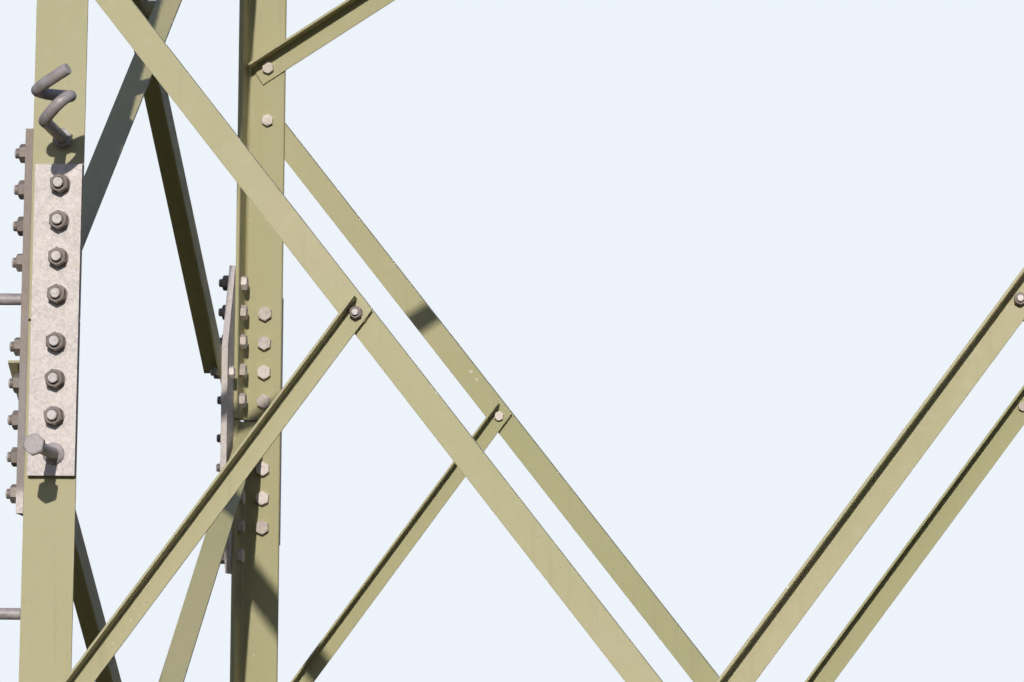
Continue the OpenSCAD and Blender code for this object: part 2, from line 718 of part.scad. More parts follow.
foundation(0);  // foundation_front_left
foundation(1);  // foundation_front_right
foundation(2);  // foundation_back_right
foundation(3);  // foundation_back_left
lower_leg(0);  // lower_leg_front_left
lower_leg(1);  // lower_leg_front_right
lower_leg(2);  // lower_leg_back_right
lower_leg(3);  // lower_leg_back_left
middle_leg(0);  // middle_leg_front_left
middle_leg(1);  // middle_leg_front_right
middle_leg(2);  // middle_leg_back_right
middle_leg(3);  // middle_leg_back_left
upper_leg(0);  // upper_leg_front_left
upper_leg(1);  // upper_leg_front_right
upper_leg(2);  // upper_leg_back_right
upper_leg(3);  // upper_leg_back_left
lower_splice_plates();
upper_splice_plates();
color("darkkhaki") on_face(0) front_lower();  // lower_bracing_front
color("darkkhaki") on_face(1) side_lower();  // lower_bracing_right
color("darkkhaki") on_face(2) front_lower();  // lower_bracing_back
color("darkkhaki") on_face(3) side_lower();  // lower_bracing_left
color("darkkhaki") on_face(0) front_upper();  // upper_bracing_front
color("darkkhaki") on_face(1) side_upper();  // upper_bracing_right
color("darkkhaki") on_face(2) front_upper();  // upper_bracing_back
color("darkkhaki") on_face(3) side_upper();  // upper_bracing_left
belt_frames();
crossarm(false, belt_1, belt_2, lower_reach, 5, lower_hangs);  // lower_arm_left
crossarm(true, belt_1, belt_2, lower_reach, 5, lower_hangs);  // lower_arm_right
crossarm(false, belt_3, belt_4, upper_reach, 4, upper_hangs);  // upper_arm_left
crossarm(true, belt_3, belt_4, upper_reach, 4, upper_hangs);  // upper_arm_right
peak();
earth_wire_bracket();
strings(false, lower_hangs, belt_1);  // lower_insulators_left
strings(true, lower_hangs, belt_1);  // lower_insulators_right
strings(false, upper_hangs, belt_3);  // upper_insulators_left
strings(true, upper_hangs, belt_3);  // upper_insulators_right
fittings(false, lower_hangs, belt_1);  // lower_fittings_left
fittings(true, lower_hangs, belt_1);  // lower_fittings_right
fittings(false, upper_hangs, belt_3);  // upper_fittings_left
fittings(true, upper_hangs, belt_3);  // upper_fittings_right
step_bolts();
rope_anchor();
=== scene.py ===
"""Looks of a lattice transmission pylon of bolted angle steel, around its fixed model."""
import json
import math

import bpy
import numpy as np
from bpy.props import FloatProperty, FloatVectorProperty, IntProperty, PointerProperty
from mathutils import Matrix


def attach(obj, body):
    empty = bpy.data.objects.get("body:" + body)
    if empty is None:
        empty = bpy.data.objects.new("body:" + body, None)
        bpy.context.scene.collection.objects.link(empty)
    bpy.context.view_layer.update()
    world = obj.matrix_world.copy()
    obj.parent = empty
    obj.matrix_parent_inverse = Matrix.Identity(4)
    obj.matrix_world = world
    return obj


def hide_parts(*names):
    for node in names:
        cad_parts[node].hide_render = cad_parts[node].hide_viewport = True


bl_info = {
    "name": "Lattice transmission pylon",
    "version": (1, 0, 0),
    "blender": (4, 5, 0),
    "location": "View3D > Sidebar > Pylon",
    "description": "Bolts, climbing irons, insulators and finishes of a bolted lattice pylon",
    "category": "Object",
}

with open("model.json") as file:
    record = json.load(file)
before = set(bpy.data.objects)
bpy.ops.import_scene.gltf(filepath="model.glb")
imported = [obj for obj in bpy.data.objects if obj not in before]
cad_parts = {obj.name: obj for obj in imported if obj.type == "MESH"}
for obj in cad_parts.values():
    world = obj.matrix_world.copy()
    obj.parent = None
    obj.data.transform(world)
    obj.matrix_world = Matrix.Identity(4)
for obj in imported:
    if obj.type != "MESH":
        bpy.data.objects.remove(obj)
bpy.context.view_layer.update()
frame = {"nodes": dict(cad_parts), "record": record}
AXIS = next(m["pos_m"][0] for m in frame["record"]["mounts"] if m["name"] == "front_right_foot") / 2
CENTRE = np.array([AXIS, AXIS, 0.0])


# Sizes and colours that a user would change

def length(name, text, value, low=0.0, high=10.0):
    """A length in metres with its name and description."""
    return FloatProperty(name=name, description=text, default=value, min=low, max=high,
                         unit="LENGTH", subtype="DISTANCE", precision=4)


def share(name, text, value, low=0.0, high=1.0):
    """A plain number with its name and description."""
    return FloatProperty(name=name, description=text, default=value, min=low, max=high, precision=4)


def paint(name, text, value):
    """A colour with its name and description."""
    return FloatVectorProperty(name=name, description=text, default=value, size=3,
                               min=0.0, max=1.0, subtype="COLOR")


class MainSizes(bpy.types.PropertyGroup):
    """Main sizes of the model, which the bolts follow."""
    taper: share("Taper", "How much each leg leans inwards for each unit of height", 0.0227)
    joint: length("Lower joint", "Height of the lowest leg joint", 3.175)
    pitch: share("Pitch", "Rise of each node as a share of half the width there", 0.63)
    arm_depth: length("Arm depth", "Height of a crossarm at the body", 1.250)
    arm_gap: length("Arm gap", "Height between the crossarms", 3.300)
    lower_reach: length("Lower reach", "Reach of the lower arm from the axis", 7.200)
    upper_reach: length("Upper reach", "Reach of the upper arm from the axis", 5.400)
    inner_hang: length("Inner string", "From the axis to the inner strings of the lower arm", 3.900)
    peak_h: length("Peak height", "Height of the peak over the upper arm", 4.300)


class IronSizes(bpy.types.PropertyGroup):
    """Sizes of the bolts, the climbing steps and the rope hook."""
    splice_bolt: length("Splice bolt", "Thread of the bolts in the lower leg joints", 0.024)
    top_bolt: length("Upper splice bolt", "Thread of the bolts in the upper leg joints", 0.020)
    lattice_bolt: length("Bracing bolt", "Thread of the bolts of the bracing", 0.016)
    foot_bolt: length("Diagonal bolt", "Thread of the end bolts of the lower diagonals", 0.020)
    web_bolt: length("Web bolt", "Thread of the bolts of the arms and the peak", 0.014)
    step_pitch: length("Step pitch", "Distance between the steps", 0.333)
    step_d: length("Step rod", "Diameter of a step", 0.025)
    step_len: length("Step length", "Length of a step outside the leg", 0.212)
    step_flats: length("Step head", "Across the flats of a step's head", 0.041)
    hook_d: length("Hook rod", "Diameter of the rod of the rope hook", 0.025)
    hook_out: length("Hook reach", "Distance of the first bend of the rope hook from the leg", 0.212)


class RodSizes(bpy.types.PropertyGroup):
    """Sizes of the insulators."""
    shed_d: length("Shed diameter", "Diameter of the sheds", 0.150)
    core_d: length("Core diameter", "Diameter of the porcelain core", 0.070)
    sheds: IntProperty(name="Sheds", description="Number of sheds on one rod", default=14, min=4, max=30)


class Finish(bpy.types.PropertyGroup):
    """Colours and wear of the surfaces, and painted shade on the far side of the body and on the plates'
    edges.
    """
    khaki: paint("Paint", "Satin khaki green paint", (0.505, 0.445, 0.253))
    khaki_green: paint("Greener paint", "Paint where it has kept its colour", (0.43, 0.405, 0.208))
    khaki_pale: paint("Chalky paint", "Paint that has gone pale in the weather", (0.56, 0.51, 0.31))
    leg_shade: share("Leg shade", "Brightness of the paint of the legs beside that of the bracing", 0.97)
    # painted shade: multiplies the paint towards the far side of the body, away from the main light
    shaded: paint("Shaded side", "Tint of the paint on the side away from the sun", (0.86, 0.885, 0.80))
    chip: paint("Chips", "Primer and zinc where the paint has gone", (0.78, 0.72, 0.62))
    zinc: paint("Zinc", "Hot-dip zinc of the splice plates", (0.66, 0.595, 0.56))
    zinc_dark: paint("Dull zinc", "Dark crystals of the zinc", (0.545, 0.487, 0.455))
    # painted shade: brown shade laid on the thin edges of the plates
    plate_edge_shade: paint("Plate edges", "Brown cut edges of the splice plates", (0.245, 0.19, 0.15))
    bolt: paint("Nuts", "Weathered zinc of the nuts", (0.235, 0.195, 0.169))
    head: paint("Bolt heads", "Pale zinc of the bolt heads", (0.57, 0.50, 0.445))
    thread: paint("Thread ends", "Bright ends of the threads", (0.62, 0.565, 0.545))
    forged: paint("Forgings", "Smooth zinc of the steps and the hook", (0.45, 0.40, 0.39))
    glaze: paint("Glaze", "Brown glaze of the insulators", (0.085, 0.028, 0.014))
    concrete: paint("Concrete", "Weathered concrete of the foundations", (0.46, 0.44, 0.40))
    wear: share("Wear", "How much of the edges has lost its paint", 0.35)


class StageSettings(bpy.types.PropertyGroup):
    """Camera, light and floor."""
    focal: FloatProperty(name="Focal length", description="Lens in millimetres on a sensor 36 mm wide",
                         default=171.4, min=10.0, max=400.0, unit="CAMERA")
    side: length("Camera side", "Camera to the right of the axis", 0.6919, -50.0, 50.0)
    back: length("Camera distance", "Camera in front of the axis", 11.4231, 0.0, 50.0)
    drop: length("Camera drop", "Camera below the lower leg joint", 1.0243, -50.0, 50.0)
    yaw: share("Yaw", "Turn of the view to the right, in radians", -0.1048, -3.2, 3.2)
    pitch: share("Pitch", "Tilt of the view upwards, in radians", 0.0948, -1.6, 1.6)
    roll: share("Roll", "Roll of the view, in radians", -0.0100, -3.2, 3.2)
    sun_side: share("Light side", "Turn of the main light from the front to the right, in degrees",
                    4.15, -180.0, 180.0)
    sun_up: share("Light height", "Height of the main light, in degrees", 20.9, 0.0, 90.0)
    sun: share("Light", "Strength of the main light", 3.0, 0.0, 20.0)
    back_sun: share("Back light", "Strength of the light from behind", 1.15, 0.0, 20.0)
    fill: share("Fill", "Strength of the soft light from all sides", 1.0, 0.0, 5.0)
    fill_front: paint("Front fill", "Soft light from the main light's side", (0.45, 0.51, 0.58))
    fill_side: paint("Side fill", "Soft light from left, right, above and below", (0.0, 0.04, 0.25))
    fill_back: paint("Back fill", "Soft light from the far side", (0.22, 0.26, 0.34))
    floor: length("Floor radius", "Radius of the floor", 4000.0, 10.0, 10000.0)


GROUPS = {"pylon_sizes": MainSizes, "pylon_irons": IronSizes, "pylon_rods": RodSizes, "pylon_finish": Finish,
          "pylon_stage": StageSettings}


# Places of the fixed model's bars and bolts, in metres or as shares

HEEL = 0.055  # from the middle of a foot to the heel of its leg at ground level
FOOT, FOOT_V = 0.461, 0.120  # height of the lowest bolts, and gap of the two in a side's bottom bar
LEG_B, LEG_T, GAUGE = 0.110, 0.010, 0.065  # lower and middle legs: flange, thickness, heel to bolt line
TOP_B, TOP_T, TOP_GAUGE = 0.090, 0.008, 0.050  # the same of the upper legs
DIAG_T, SHORT_T = 0.006, 0.005  # main diagonals, and short and upper bracing
LOWER_BARS, UPPER_BARS = (DIAG_T, LEG_T, GAUGE), (SHORT_T, TOP_T, TOP_GAUGE)  # with the legs they lie on
FRONT_SPLIT, SIDE_SPLIT = 0.070, 0.040  # from a node to the end bolt of each diagonal
SHORT_SPLIT = 0.051  # from the level of the tall crossing to each short bar's bolt
SPLICE_T, GUSSET_T = (0.016, 0.010), (0.016, 0.012)  # plates of the lower and the upper joints
BOLT_PITCH, JOINT_GAP = 0.078, 0.101  # between the bolts of a leg joint, and between the two beside it
GUSSET_BOLT, GUSSET_RISE = 0.070, 0.115  # bolt of an outer bar on a gusset, from the leg and from the joint
SEAT = 0.0003  # gap between bars that are bolted together
UPPER_JOINT, BELT = 12, 21  # nodes from the lower joint to the upper joint and to the lowest belt
BELT_SPLIT = 0.110  # from a belt to the bolts of the panels beside it
BELT_BAR, SHOE_RISE, SHOE_T = 0.022, 0.040, 0.010  # bolts under and over a belt, and the arms' shoes
TIP_W, TIP_H, TIP_HANG = 0.240, 0.150, 0.080  # an arm's tip, and from it to the nearest rod
CHORD_B, CHORD_T, WEB_T = 0.075, 0.007, 0.005  # bars of the arms
CHORD_LAP = 0.0005  # how deep an arm's web bars sit in its chords
WEB_LOW, WEB_HIGH = 0.26, 0.90  # ends of an arm's outer web bar in its bay
FLOOR_END, FLOOR_IN, FLOOR_ASIDE, FLOOR_T = 0.1, 0.025, 0.024, 0.010  # zigzag bars under an arm
BEAM_OUT, BEAM_IN, BEAM_T = 0.030, 0.045, 0.0115  # beams that hold the strings
ROOF_END, ROOF_IN, ROOF_LIFT, ROOF_B, ROOF_T = 0.08, 0.030, 0.002, 0.040, 0.004  # bars over an arm
ROOF_BOLT, ROOF_CHORD = 0.020, 0.009  # their bolts, and how far those go into the chord
HEAD_W = 0.180  # width over the head of the peak
PEAK_FOOT, PEAK_NODES = 0.1303, (0.48, 0.75, 0.91)  # height of its lowest node, and shares of the others
PEAK_GAUGE, PEAK_SPLIT = 0.038, 0.034  # bolts of the peak from the heel and from a node
PEAK_T, PEAK_LAP = 0.007, 0.0012  # thickness of its chords, and how deep its web bars sit in them
ROD_GAP, ROD_LEN, ROD_TOP = 0.560, 1.150, 0.220  # rods of a string: apart, porcelain, drop from the arm
LEG_REACH = 0.08  # from a leg's heel to its furthest bolts
HOLE_GAP = 0.02  # bolts closer than this share a hole
HOOK_STEP = 1  # place in the row of steps that the hook takes


# Planes and heights of the body

def sizes():
    return bpy.context.scene.pylon_sizes


def irons():
    return bpy.context.scene.pylon_irons


def finish():
    return bpy.context.scene.pylon_finish


def half_width(z):
    """Half the width of the body at height z: it narrows by the taper on each side."""
    return AXIS + HEEL - sizes().taper * z


def level(i):
    """Height of node i over the leg joint: each is over the last by the pitch times half the width there."""
    z = sizes().joint
    for _ in range(i):
        z += sizes().pitch * half_width(z)
    return z


def belts():
    """Heights of the four belts: the foot and the top of each crossarm."""
    first, s = level(BELT), sizes()
    second = first + s.arm_depth
    third = second + s.arm_gap
    return [first, second, third, third + s.arm_depth]


def turn_z(angle):
    c, s = math.cos(angle), math.sin(angle)
    return np.array([[c, -s, 0], [s, c, 0], [0, 0, 1]])


def turn_x(angle):
    c, s = math.cos(angle), math.sin(angle)
    return np.array([[1, 0, 0], [0, c, -s], [0, s, c]])


def unit(v):
    """The vectors of an array, each brought to length one."""
    return v / np.linalg.norm(v, axis=-1, keepdims=True)


def on_face(k, points):
    """Points of face k in the frame: x along the face, z up its slope, -y outwards. The face leans in
    by the taper, stands half a width from the axis and is turned a quarter for each k."""
    lean = math.atan(sizes().taper)
    p = np.asarray(points, float) @ turn_x(-lean).T
    p = p + [0, -half_width(0), 0]
    return p @ turn_z(math.pi / 2 * k).T + CENTRE


def slope(z):
    """Distance up the slope of a face at height z."""
    return z / math.cos(math.atan(sizes().taper))


def leg_point(side, z, gauge):
    """Point on the bolt line of a face's left leg (-1) or right leg (1), as x and slope."""
    return np.array([side * (half_width(z) - gauge), slope(z)])


def arm_points(local, z, reach, x, y):
    """Points of the side of a crossarm at height z, given along it, inwards and up its lean. The side
    starts at the leg's corner and turns to end half a tip width from the middle at its reach. The signs x
    and y say which of the four like sides it is."""
    start, tip = half_width(z) + SEAT, TIP_W / 2
    turn = math.atan2(start - tip, reach - start)
    p = np.asarray(local, float) @ turn_x(-math.atan(sizes().taper)).T @ turn_z(turn).T
    return (p + [start, -start, z]) * [x, y, 1] + CENTRE


def arm_length(z, reach):
    """Length of a crossarm's side from the leg's corner to its tip."""
    start = half_width(z) + SEAT
    return math.hypot(reach - start, start - TIP_W / 2)


def peak_half(h):
    """Half the width of the peak at height h over its foot, where it narrows evenly to its head."""
    foot = half_width(belts()[3])
    return foot - (foot - HEAD_W / 2) * h / sizes().peak_h


def gusset_point(side, z, leg_b, up):
    """Point on a gusset that takes an outer bar from above (1) or below (-1)."""
    return np.array([side * (half_width(z) - leg_b - GUSSET_BOLT), slope(z + up * GUSSET_RISE)])


def crossing(p, q, r, s):
    """Where the line from p to q crosses the line from r to s."""
    a, b, c = q - p, s - r, r - p
    return p + a * (c[0] * b[1] - c[1] * b[0]) / (a[0] * b[1] - a[1] * b[0])


# Bolted points, each as x, slope, outside depth, inside depth and thread

def panel_bolts(z1, z2, bar_t, leg_t, gauge, thread):
    """Five bolts of a crossing pair: the outer bar's ends, the inner bar's ends and the crossing."""
    p, q = leg_point(-1, z1, gauge), leg_point(1, z2, gauge)
    r, s = leg_point(-1, z2, gauge), leg_point(1, z1, gauge)
    out, inn = -SEAT - bar_t, leg_t + SEAT + bar_t
    return [(*p, out, leg_t, thread), (*q, out, leg_t, thread), (*r, 0, inn, thread),
            (*s, 0, inn, thread), (*crossing(p, q, r, s), out, inn, irons().lattice_bolt)]


def foot_bolts():
    """Bolts of the tall foot panel and of the short bars from its diagonals to the legs."""
    thread = irons().lattice_bolt
    high = level(1) - FRONT_SPLIT
    rows = panel_bolts(FOOT, high, *LOWER_BARS, irons().foot_bolt)
    p, q = leg_point(1, FOOT, GAUGE), leg_point(1, high, GAUGE)
    rise_per = (q[1] - p[1]) / (q[0] + p[0])
    mid = p[1] + rise_per * p[0]
    rise = slope(sizes().joint) - mid
    x = rise / rise_per
    outer, inner = -SEAT - SHORT_T, LEG_T + SEAT + SHORT_T
    for up in (-1, 1):
        z = mid + up * rise
        leg_z = mid * math.cos(math.atan(sizes().taper)) + up * SHORT_SPLIT
        for side in (-1, 1):
            on_leg = leg_point(side, leg_z, GAUGE)
            if side * up < 0:
                rows.append((*on_leg, outer, LEG_T, thread))
                rows.append((side * x, z, outer, LEG_T + SEAT + DIAG_T, thread))
            else:
                rows.append((*on_leg, 0, inner, thread))
                rows.append((side * x, z, -SEAT - DIAG_T, inner, thread))
    return rows


def gusset_panel_bolts(z, plain_z, upper):
    """Bolts of a crossing pair that starts on the gussets of the joint at height z. The inner bar's
    end there shares a bolt of the joint."""
    up = 1 if plain_z > z else -1
    leg_b, plate = TOP_B if upper else LEG_B, GUSSET_T[upper]
    light = upper and up > 0
    bar_t, back, gauge = UPPER_BARS if light else LOWER_BARS
    thread = irons().lattice_bolt if light else irons().foot_bolt
    end_z = plain_z - up * SIDE_SPLIT
    near_z = z + up * JOINT_GAP / 2
    held, plain = gusset_point(-up, z, leg_b, up), leg_point(up, end_z, gauge)
    r, s = leg_point(-1, max(end_z, near_z), gauge), leg_point(1, min(end_z, near_z), gauge)
    out, inn = -SEAT - plate - bar_t, back + SEAT + bar_t
    cross = crossing(held, plain, r, s)
    return [(*held, out, -SEAT, thread), (*plain, out, back, thread),
            (*leg_point(-up, end_z, gauge), 0, inn, thread), (*cross, out, inn, irons().lattice_bolt)]


def joint_rows(k, upper):
    """Bolts of a leg joint on face k: on each side of the joint five through the gussets or four through
    the splice plates, on both legs. Where an inner bar ends beside the joint, the bolt is longer by it."""
    flank, rows = k % 2 == 1, []
    z, gauge = (level(UPPER_JOINT), TOP_GAUGE) if upper else (sizes().joint, GAUGE)
    thread = irons().top_bolt if upper else irons().splice_bolt
    plate = (GUSSET_T if flank else SPLICE_T)[upper]
    for side in (-1, 1):
        for up in (-1, 1):
            bar, back, _ = UPPER_BARS if upper and up > 0 else LOWER_BARS
            for i in range(5 if flank else 4):
                at = z + up * (JOINT_GAP / 2 + i * BOLT_PITCH)
                longer = bar + SEAT if flank and i == 0 and side == up else 0
                rows.append((*leg_point(side, at, gauge), -SEAT - plate, back + longer, thread))
    return rows


def nodes(first, stop):
    """Heights of every second node."""
    return [level(i) for i in range(first, stop, 2)]


def upper_runs(first, split):
    """Node heights of a face's panels over the upper joint, and beside and between the crossarms."""
    b1, b2, b3, b4 = belts()
    d = BELT_SPLIT - split
    return [[*nodes(first, BELT - 1), b1 - d], [b1 + d, b2 - d], [b2 + d, (b2 + b3) / 2, b3 - d],
            [b3 + d, b4 - d]]


def run_bolts(runs, split, bars, thread):
    """Bolts of the panels between the node heights of each run."""
    return [row for run in runs for z1, z2 in zip(run, run[1:])
            for row in panel_bolts(z1 + split, z2 - split, *bars, thread)]


def front_bolts():
    """Bolts of the front or the back face: the tall foot panel and plain panels."""
    low, high = [nodes(1, UPPER_JOINT + 2)], upper_runs(UPPER_JOINT + 1, FRONT_SPLIT)
    rows = foot_bolts() + run_bolts(low, FRONT_SPLIT, LOWER_BARS, irons().foot_bolt)
    return rows + run_bolts(high, FRONT_SPLIT, UPPER_BARS, irons().lattice_bolt)


def side_bolts():
    """Bolts of a side face: gusset panels round both joints, plain panels, bottom bar and its struts."""
    joint, upper = sizes().joint, level(UPPER_JOINT)
    foot_z = joint - sizes().pitch * 2 * half_width(joint)
    low, high = [nodes(2, UPPER_JOINT - 1)], upper_runs(UPPER_JOINT + 2, SIDE_SPLIT)
    rows = gusset_panel_bolts(joint, foot_z, False) + gusset_panel_bolts(joint, level(2), False)
    rows += run_bolts(low, SIDE_SPLIT, LOWER_BARS, irons().foot_bolt)
    rows += gusset_panel_bolts(upper, level(UPPER_JOINT - 2), True)
    rows += gusset_panel_bolts(upper, high[0][0], True)
    rows += run_bolts(high, SIDE_SPLIT, UPPER_BARS, irons().lattice_bolt)
    outer, inner = -SEAT - DIAG_T, LEG_T + SEAT + DIAG_T
    for side in (-1, 1):
        end = leg_point(side, foot_z - SIDE_SPLIT, GAUGE)
        rows.append((*end, 0, inner, irons().foot_bolt))
        rows.append((side * FOOT_V / 2, end[1], outer, inner, irons().lattice_bolt))
        rows.append((*leg_point(side, FOOT, GAUGE), outer, LEG_T, irons().foot_bolt))
    return rows


def face_bolts(k):
    """Bolts of the bracing of face k."""
    return side_bolts() if k % 2 else front_bolts()


def belt_bolts(k):
    """Bolts of the belt rings, and on the side faces those of the shoes that hold the crossarms."""
    thread, rows = irons().lattice_bolt, []
    out = -SEAT - SHOE_T if k % 2 else 0
    for z in belts():
        for side in (-1, 1):
            rows.append((*leg_point(side, z - BELT_BAR, TOP_GAUGE), out, TOP_T + SHORT_T, thread))
            if k % 2:
                rows.append((*leg_point(side, z + SHOE_RISE, TOP_GAUGE), out, TOP_T, thread))
    return rows


def arm_tiers():
    """Foot height, depth, reach, bays and string distances of the lower and the upper crossarm."""
    s, tip = sizes(), ROD_GAP / 2 + TIP_HANG
    b1, b2, b3, b4 = belts()
    return {"lower": (b1, b2 - b1, s.lower_reach, 5, [s.inner_hang, s.lower_reach - tip]),
            "upper": (b3, b4 - b3, s.upper_reach, 4, [s.upper_reach - tip])}


def arm_lacing(z, depth, reach, bays):
    """Ends of the flat zigzag bars over a crossarm's roof, as pairs of points on its two upper chords
    around the axis, and the roof's normal."""
    long, pairs = arm_length(z, reach), []
    for i in range(bays):
        side = 1 - i % 2 * 2
        ends = (((i + ROOF_END) / bays, side), ((i + 1 - ROOF_END) / bays, -side))
        pairs.append([arm_points([long * f, ROOF_IN, depth + (TIP_H - depth) * f + ROOF_LIFT],
                                 z, reach, 1, y) for f, y in ends])
    fall = math.atan2(depth - TIP_H, long)
    return np.array(pairs) - CENTRE, np.array([math.sin(fall), 0, math.cos(fall)])


def arm_web_rows(z, depth, reach, bays):
    """Bolts of the posts and of the outer web bars on one side of a crossarm, along it and up it."""
    long, inset = arm_length(z, reach), CHORD_B / 2

    def low(f):
        return [long * f, inset]

    def high(f):
        return [long * f, depth + (TIP_H - depth) * f - inset]

    posts = [p(i / bays) for i in range(1, bays) for p in (low, high)]
    webs = [p for i in range(bays - 1) for p in (low((i + WEB_LOW) / bays), high((i + WEB_HIGH) / bays))]
    return np.array(posts), np.array(webs)


def arm_floor_rows(z, reach, bays, hangs):
    """Bolts of the zigzag bars under a crossarm and of the beams that hold its strings, around the axis."""
    start, tip = half_width(z) + SEAT, TIP_W / 2

    def edge(x, side, inset):
        """Point x out from the axis and so far in from a lower chord."""
        return np.array([x, side * (start + (tip - start) * (x - start) / (reach - start) - inset)])

    floor = []
    for i in range(bays):
        side = 1 - i % 2 * 2
        p, q = (edge(start + (reach - start) * (i + f) / bays, y, CHORD_B / 2)
                for f, y in ((FLOOR_END, -side), (1 - FLOOR_END, side)))
        along = unit(q - p)
        left = np.array([-along[1], along[0]]) * FLOOR_ASIDE
        floor += [p + along * FLOOR_IN + left, q - along * FLOOR_IN + left]
    beams = [edge(hang + out * (ROD_GAP / 2 + BEAM_OUT), side, BEAM_IN)
             for hang in hangs for out in (-1, 1) for side in (-1, 1)]
    return np.array(floor), np.array(beams)


def arm_bolts():
    """Outer points, inner points and threads of all the bolts of the crossarms."""
    held, web_bolt = [], irons().web_bolt

    def hold(outer, inner, thread):
        held.append((outer, inner, np.full(len(outer), thread)))

    for z, depth, reach, bays, hangs in arm_tiers().values():
        posts, webs = arm_web_rows(z, depth, reach, bays)
        for x, y in ((-1, -1), (-1, 1), (1, -1), (1, 1)):
            for rows, out, inn in ((posts, 0, CHORD_T + WEB_T - CHORD_LAP),
                                   (webs, CHORD_LAP - WEB_T, CHORD_T)):
                ends = (arm_points(np.insert(rows, 1, d, axis=1), z, reach, x, y) for d in (out, inn))
                hold(*ends, web_bolt)
        floor, beams = arm_floor_rows(z, reach, bays, hangs)
        pairs, up = arm_lacing(z, depth, reach, bays)
        along = unit(pairs[:, 1] - pairs[:, 0])
        aside = np.cross(up, along) * ROOF_BOLT
        along *= ROOF_BOLT
        roof = np.concatenate([pairs[:, 0] + along + aside, pairs[:, 1] - along + aside])
        for x in (-1, 1):
            flip = [x, 1, 1]
            for rows, out, inn, thread in ((floor, z + FLOOR_T, z, web_bolt),
                                           (beams, z - BEAM_T, z + CHORD_T, irons().lattice_bolt)):
                hold(*(np.insert(rows, 2, d, axis=1) * flip + CENTRE for d in (out, inn)), thread)
            hold(*((roof + up * d) * flip + CENTRE for d in (ROOF_T, -ROOF_CHORD)), web_bolt)
    return [np.concatenate(part) for part in zip(*held)]


def peak_bolts():
    """Outer points, inner points and threads of the bolts on the four faces of the peak."""
    rows, high = [], sizes().peak_h
    foot, width = belts()[3], half_width(belts()[3])
    heights = [PEAK_FOOT, *(high * part for part in PEAK_NODES)]
    lean = math.atan((width - HEAD_W / 2) / high)
    out, inn = PEAK_LAP - WEB_T, PEAK_T - PEAK_LAP + WEB_T
    for h1, h2 in zip(heights, heights[1:]):
        h1, h2 = h1 + PEAK_SPLIT, h2 - PEAK_SPLIT
        x1, x2 = peak_half(h1) - PEAK_GAUGE, peak_half(h2) - PEAK_GAUGE
        cross = h1 + (h2 - h1) * x1 / (x1 + x2)
        for x, h, o, i in ((-x1, h1, out, PEAK_T), (x2, h2, out, PEAK_T), (x1, h1, 0, inn),
                           (-x2, h2, 0, inn), (0, cross, out, inn)):
            rows.append([x, h / math.cos(lean), o, i])
    rows = np.array(rows)
    ends = [np.concatenate([(rows[:, [0, depth, 1]] @ turn_x(-lean).T + [0, -width, foot])
                            @ turn_z(math.pi / 2 * k).T + CENTRE for k in range(4)]) for depth in (2, 3)]
    return [*ends, np.full(4 * len(rows), irons().web_bolt)]


# Mesh building

WASHER = 0.17  # thickness in threads
CORNER_UP = math.pi / 6
FINE, COARSE = 24, 6  # points round a bolt that is seen from close by or from far off
SHARP_IRON, SHARP_GLAZE = 28, 50  # degrees from which an edge stays sharp
FINE_UP = 1.2  # up to this height over the joint the bracing bolts are seen from close by


def ring_quads(rows, cols):
    """Quads between closed rings: point j of ring i meets point j + 1 and the ring above."""
    i, j = np.arange(rows - 1)[:, None], np.arange(cols)[None, :]
    k = (j + 1) % cols
    return np.stack([i * cols + j, i * cols + k, (i + 1) * cols + k, (i + 1) * cols + j], -1).reshape(-1, 4)


class Shapes:
    """Gathers the rings of many closed shapes for one mesh."""

    def __init__(self):
        self.points, self.faces, self.total = [], [], 0

    def rings(self, rings):
        """Adds n shapes given as an array of n, rows, columns, 3. Rings run anticlockwise seen from the
        last ring, and the first and the last ring are closed with a cap."""
        n, rows, cols, _ = rings.shape
        start = self.total + np.arange(n)[:, None, None] * rows * cols
        self.points.append(rings.reshape(-1, 3))
        self.faces += (start + ring_quads(rows, cols)[None]).reshape(-1, 4).tolist()
        foot, head = np.arange(cols)[::-1], (rows - 1) * cols + np.arange(cols)
        self.faces += (start[:, :, 0] + foot[None]).tolist()
        self.faces += (start[:, :, 0] + head[None]).tolist()
        self.total += n * rows * cols
        return self

    def object(self, name, look):
        """Makes the mesh and its object."""
        mesh = bpy.data.meshes.new(name)
        mesh.from_pydata(np.concatenate(self.points).tolist(), [], self.faces)
        mesh.materials.append(look)
        obj = bpy.data.objects.new(name, mesh)
        bpy.context.scene.collection.objects.link(obj)
        return obj

    def piece(self, name, look, slot, sharp=35):
        """Makes a piece of the pylon, smooth apart from the edges that turn more than the angle."""
        obj = self.object(name, look)
        obj.data.shade_smooth()
        obj.data.set_sharp_from_angle(angle=math.radians(sharp))
        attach(obj, "root")
        return obj


def round_angles(cols):
    """Angles of the points of a ring."""
    return np.arange(cols) * 2 * np.pi / cols


def lathe(profile, cols):
    """Rings of a turned shape: each radius and height of the profile goes round the z axis."""
    a = round_angles(cols)
    r, z = np.array(profile, float).T
    return np.stack([r[:, None] * np.cos(a), r[:, None] * np.sin(a), np.repeat(z[:, None], cols, 1)], -1)


def hexagon_rings(flats, high, face, cols, tip=(), foot=0.0):
    """Rings of a hexagon with a turned chamfer. Its radius at an angle is half the flats over the cosine
    of the angle from the middle of a side; its sides end where they meet a cone of 30 degrees, which
    rises to the face circle. The tip's radii and heights over the face follow."""
    a = round_angles(cols)
    side = flats / 2 / np.cos((a + np.pi / 6) % (np.pi / 3) - np.pi / 6)
    chamfer = (side - face) * math.tan(math.pi / 6)
    levels = [(side, 0 * a), (side, high - chamfer), (0 * a + face, 0 * a + high)]
    if foot > 0:
        levels = [(side - foot, 0 * a), (side, chamfer)] + levels[1:]
    levels += [(0 * a + r, 0 * a + high + z) for r, z in tip]
    return np.stack([np.stack([r * np.cos(a), r * np.sin(a), z], -1) for r, z in levels])


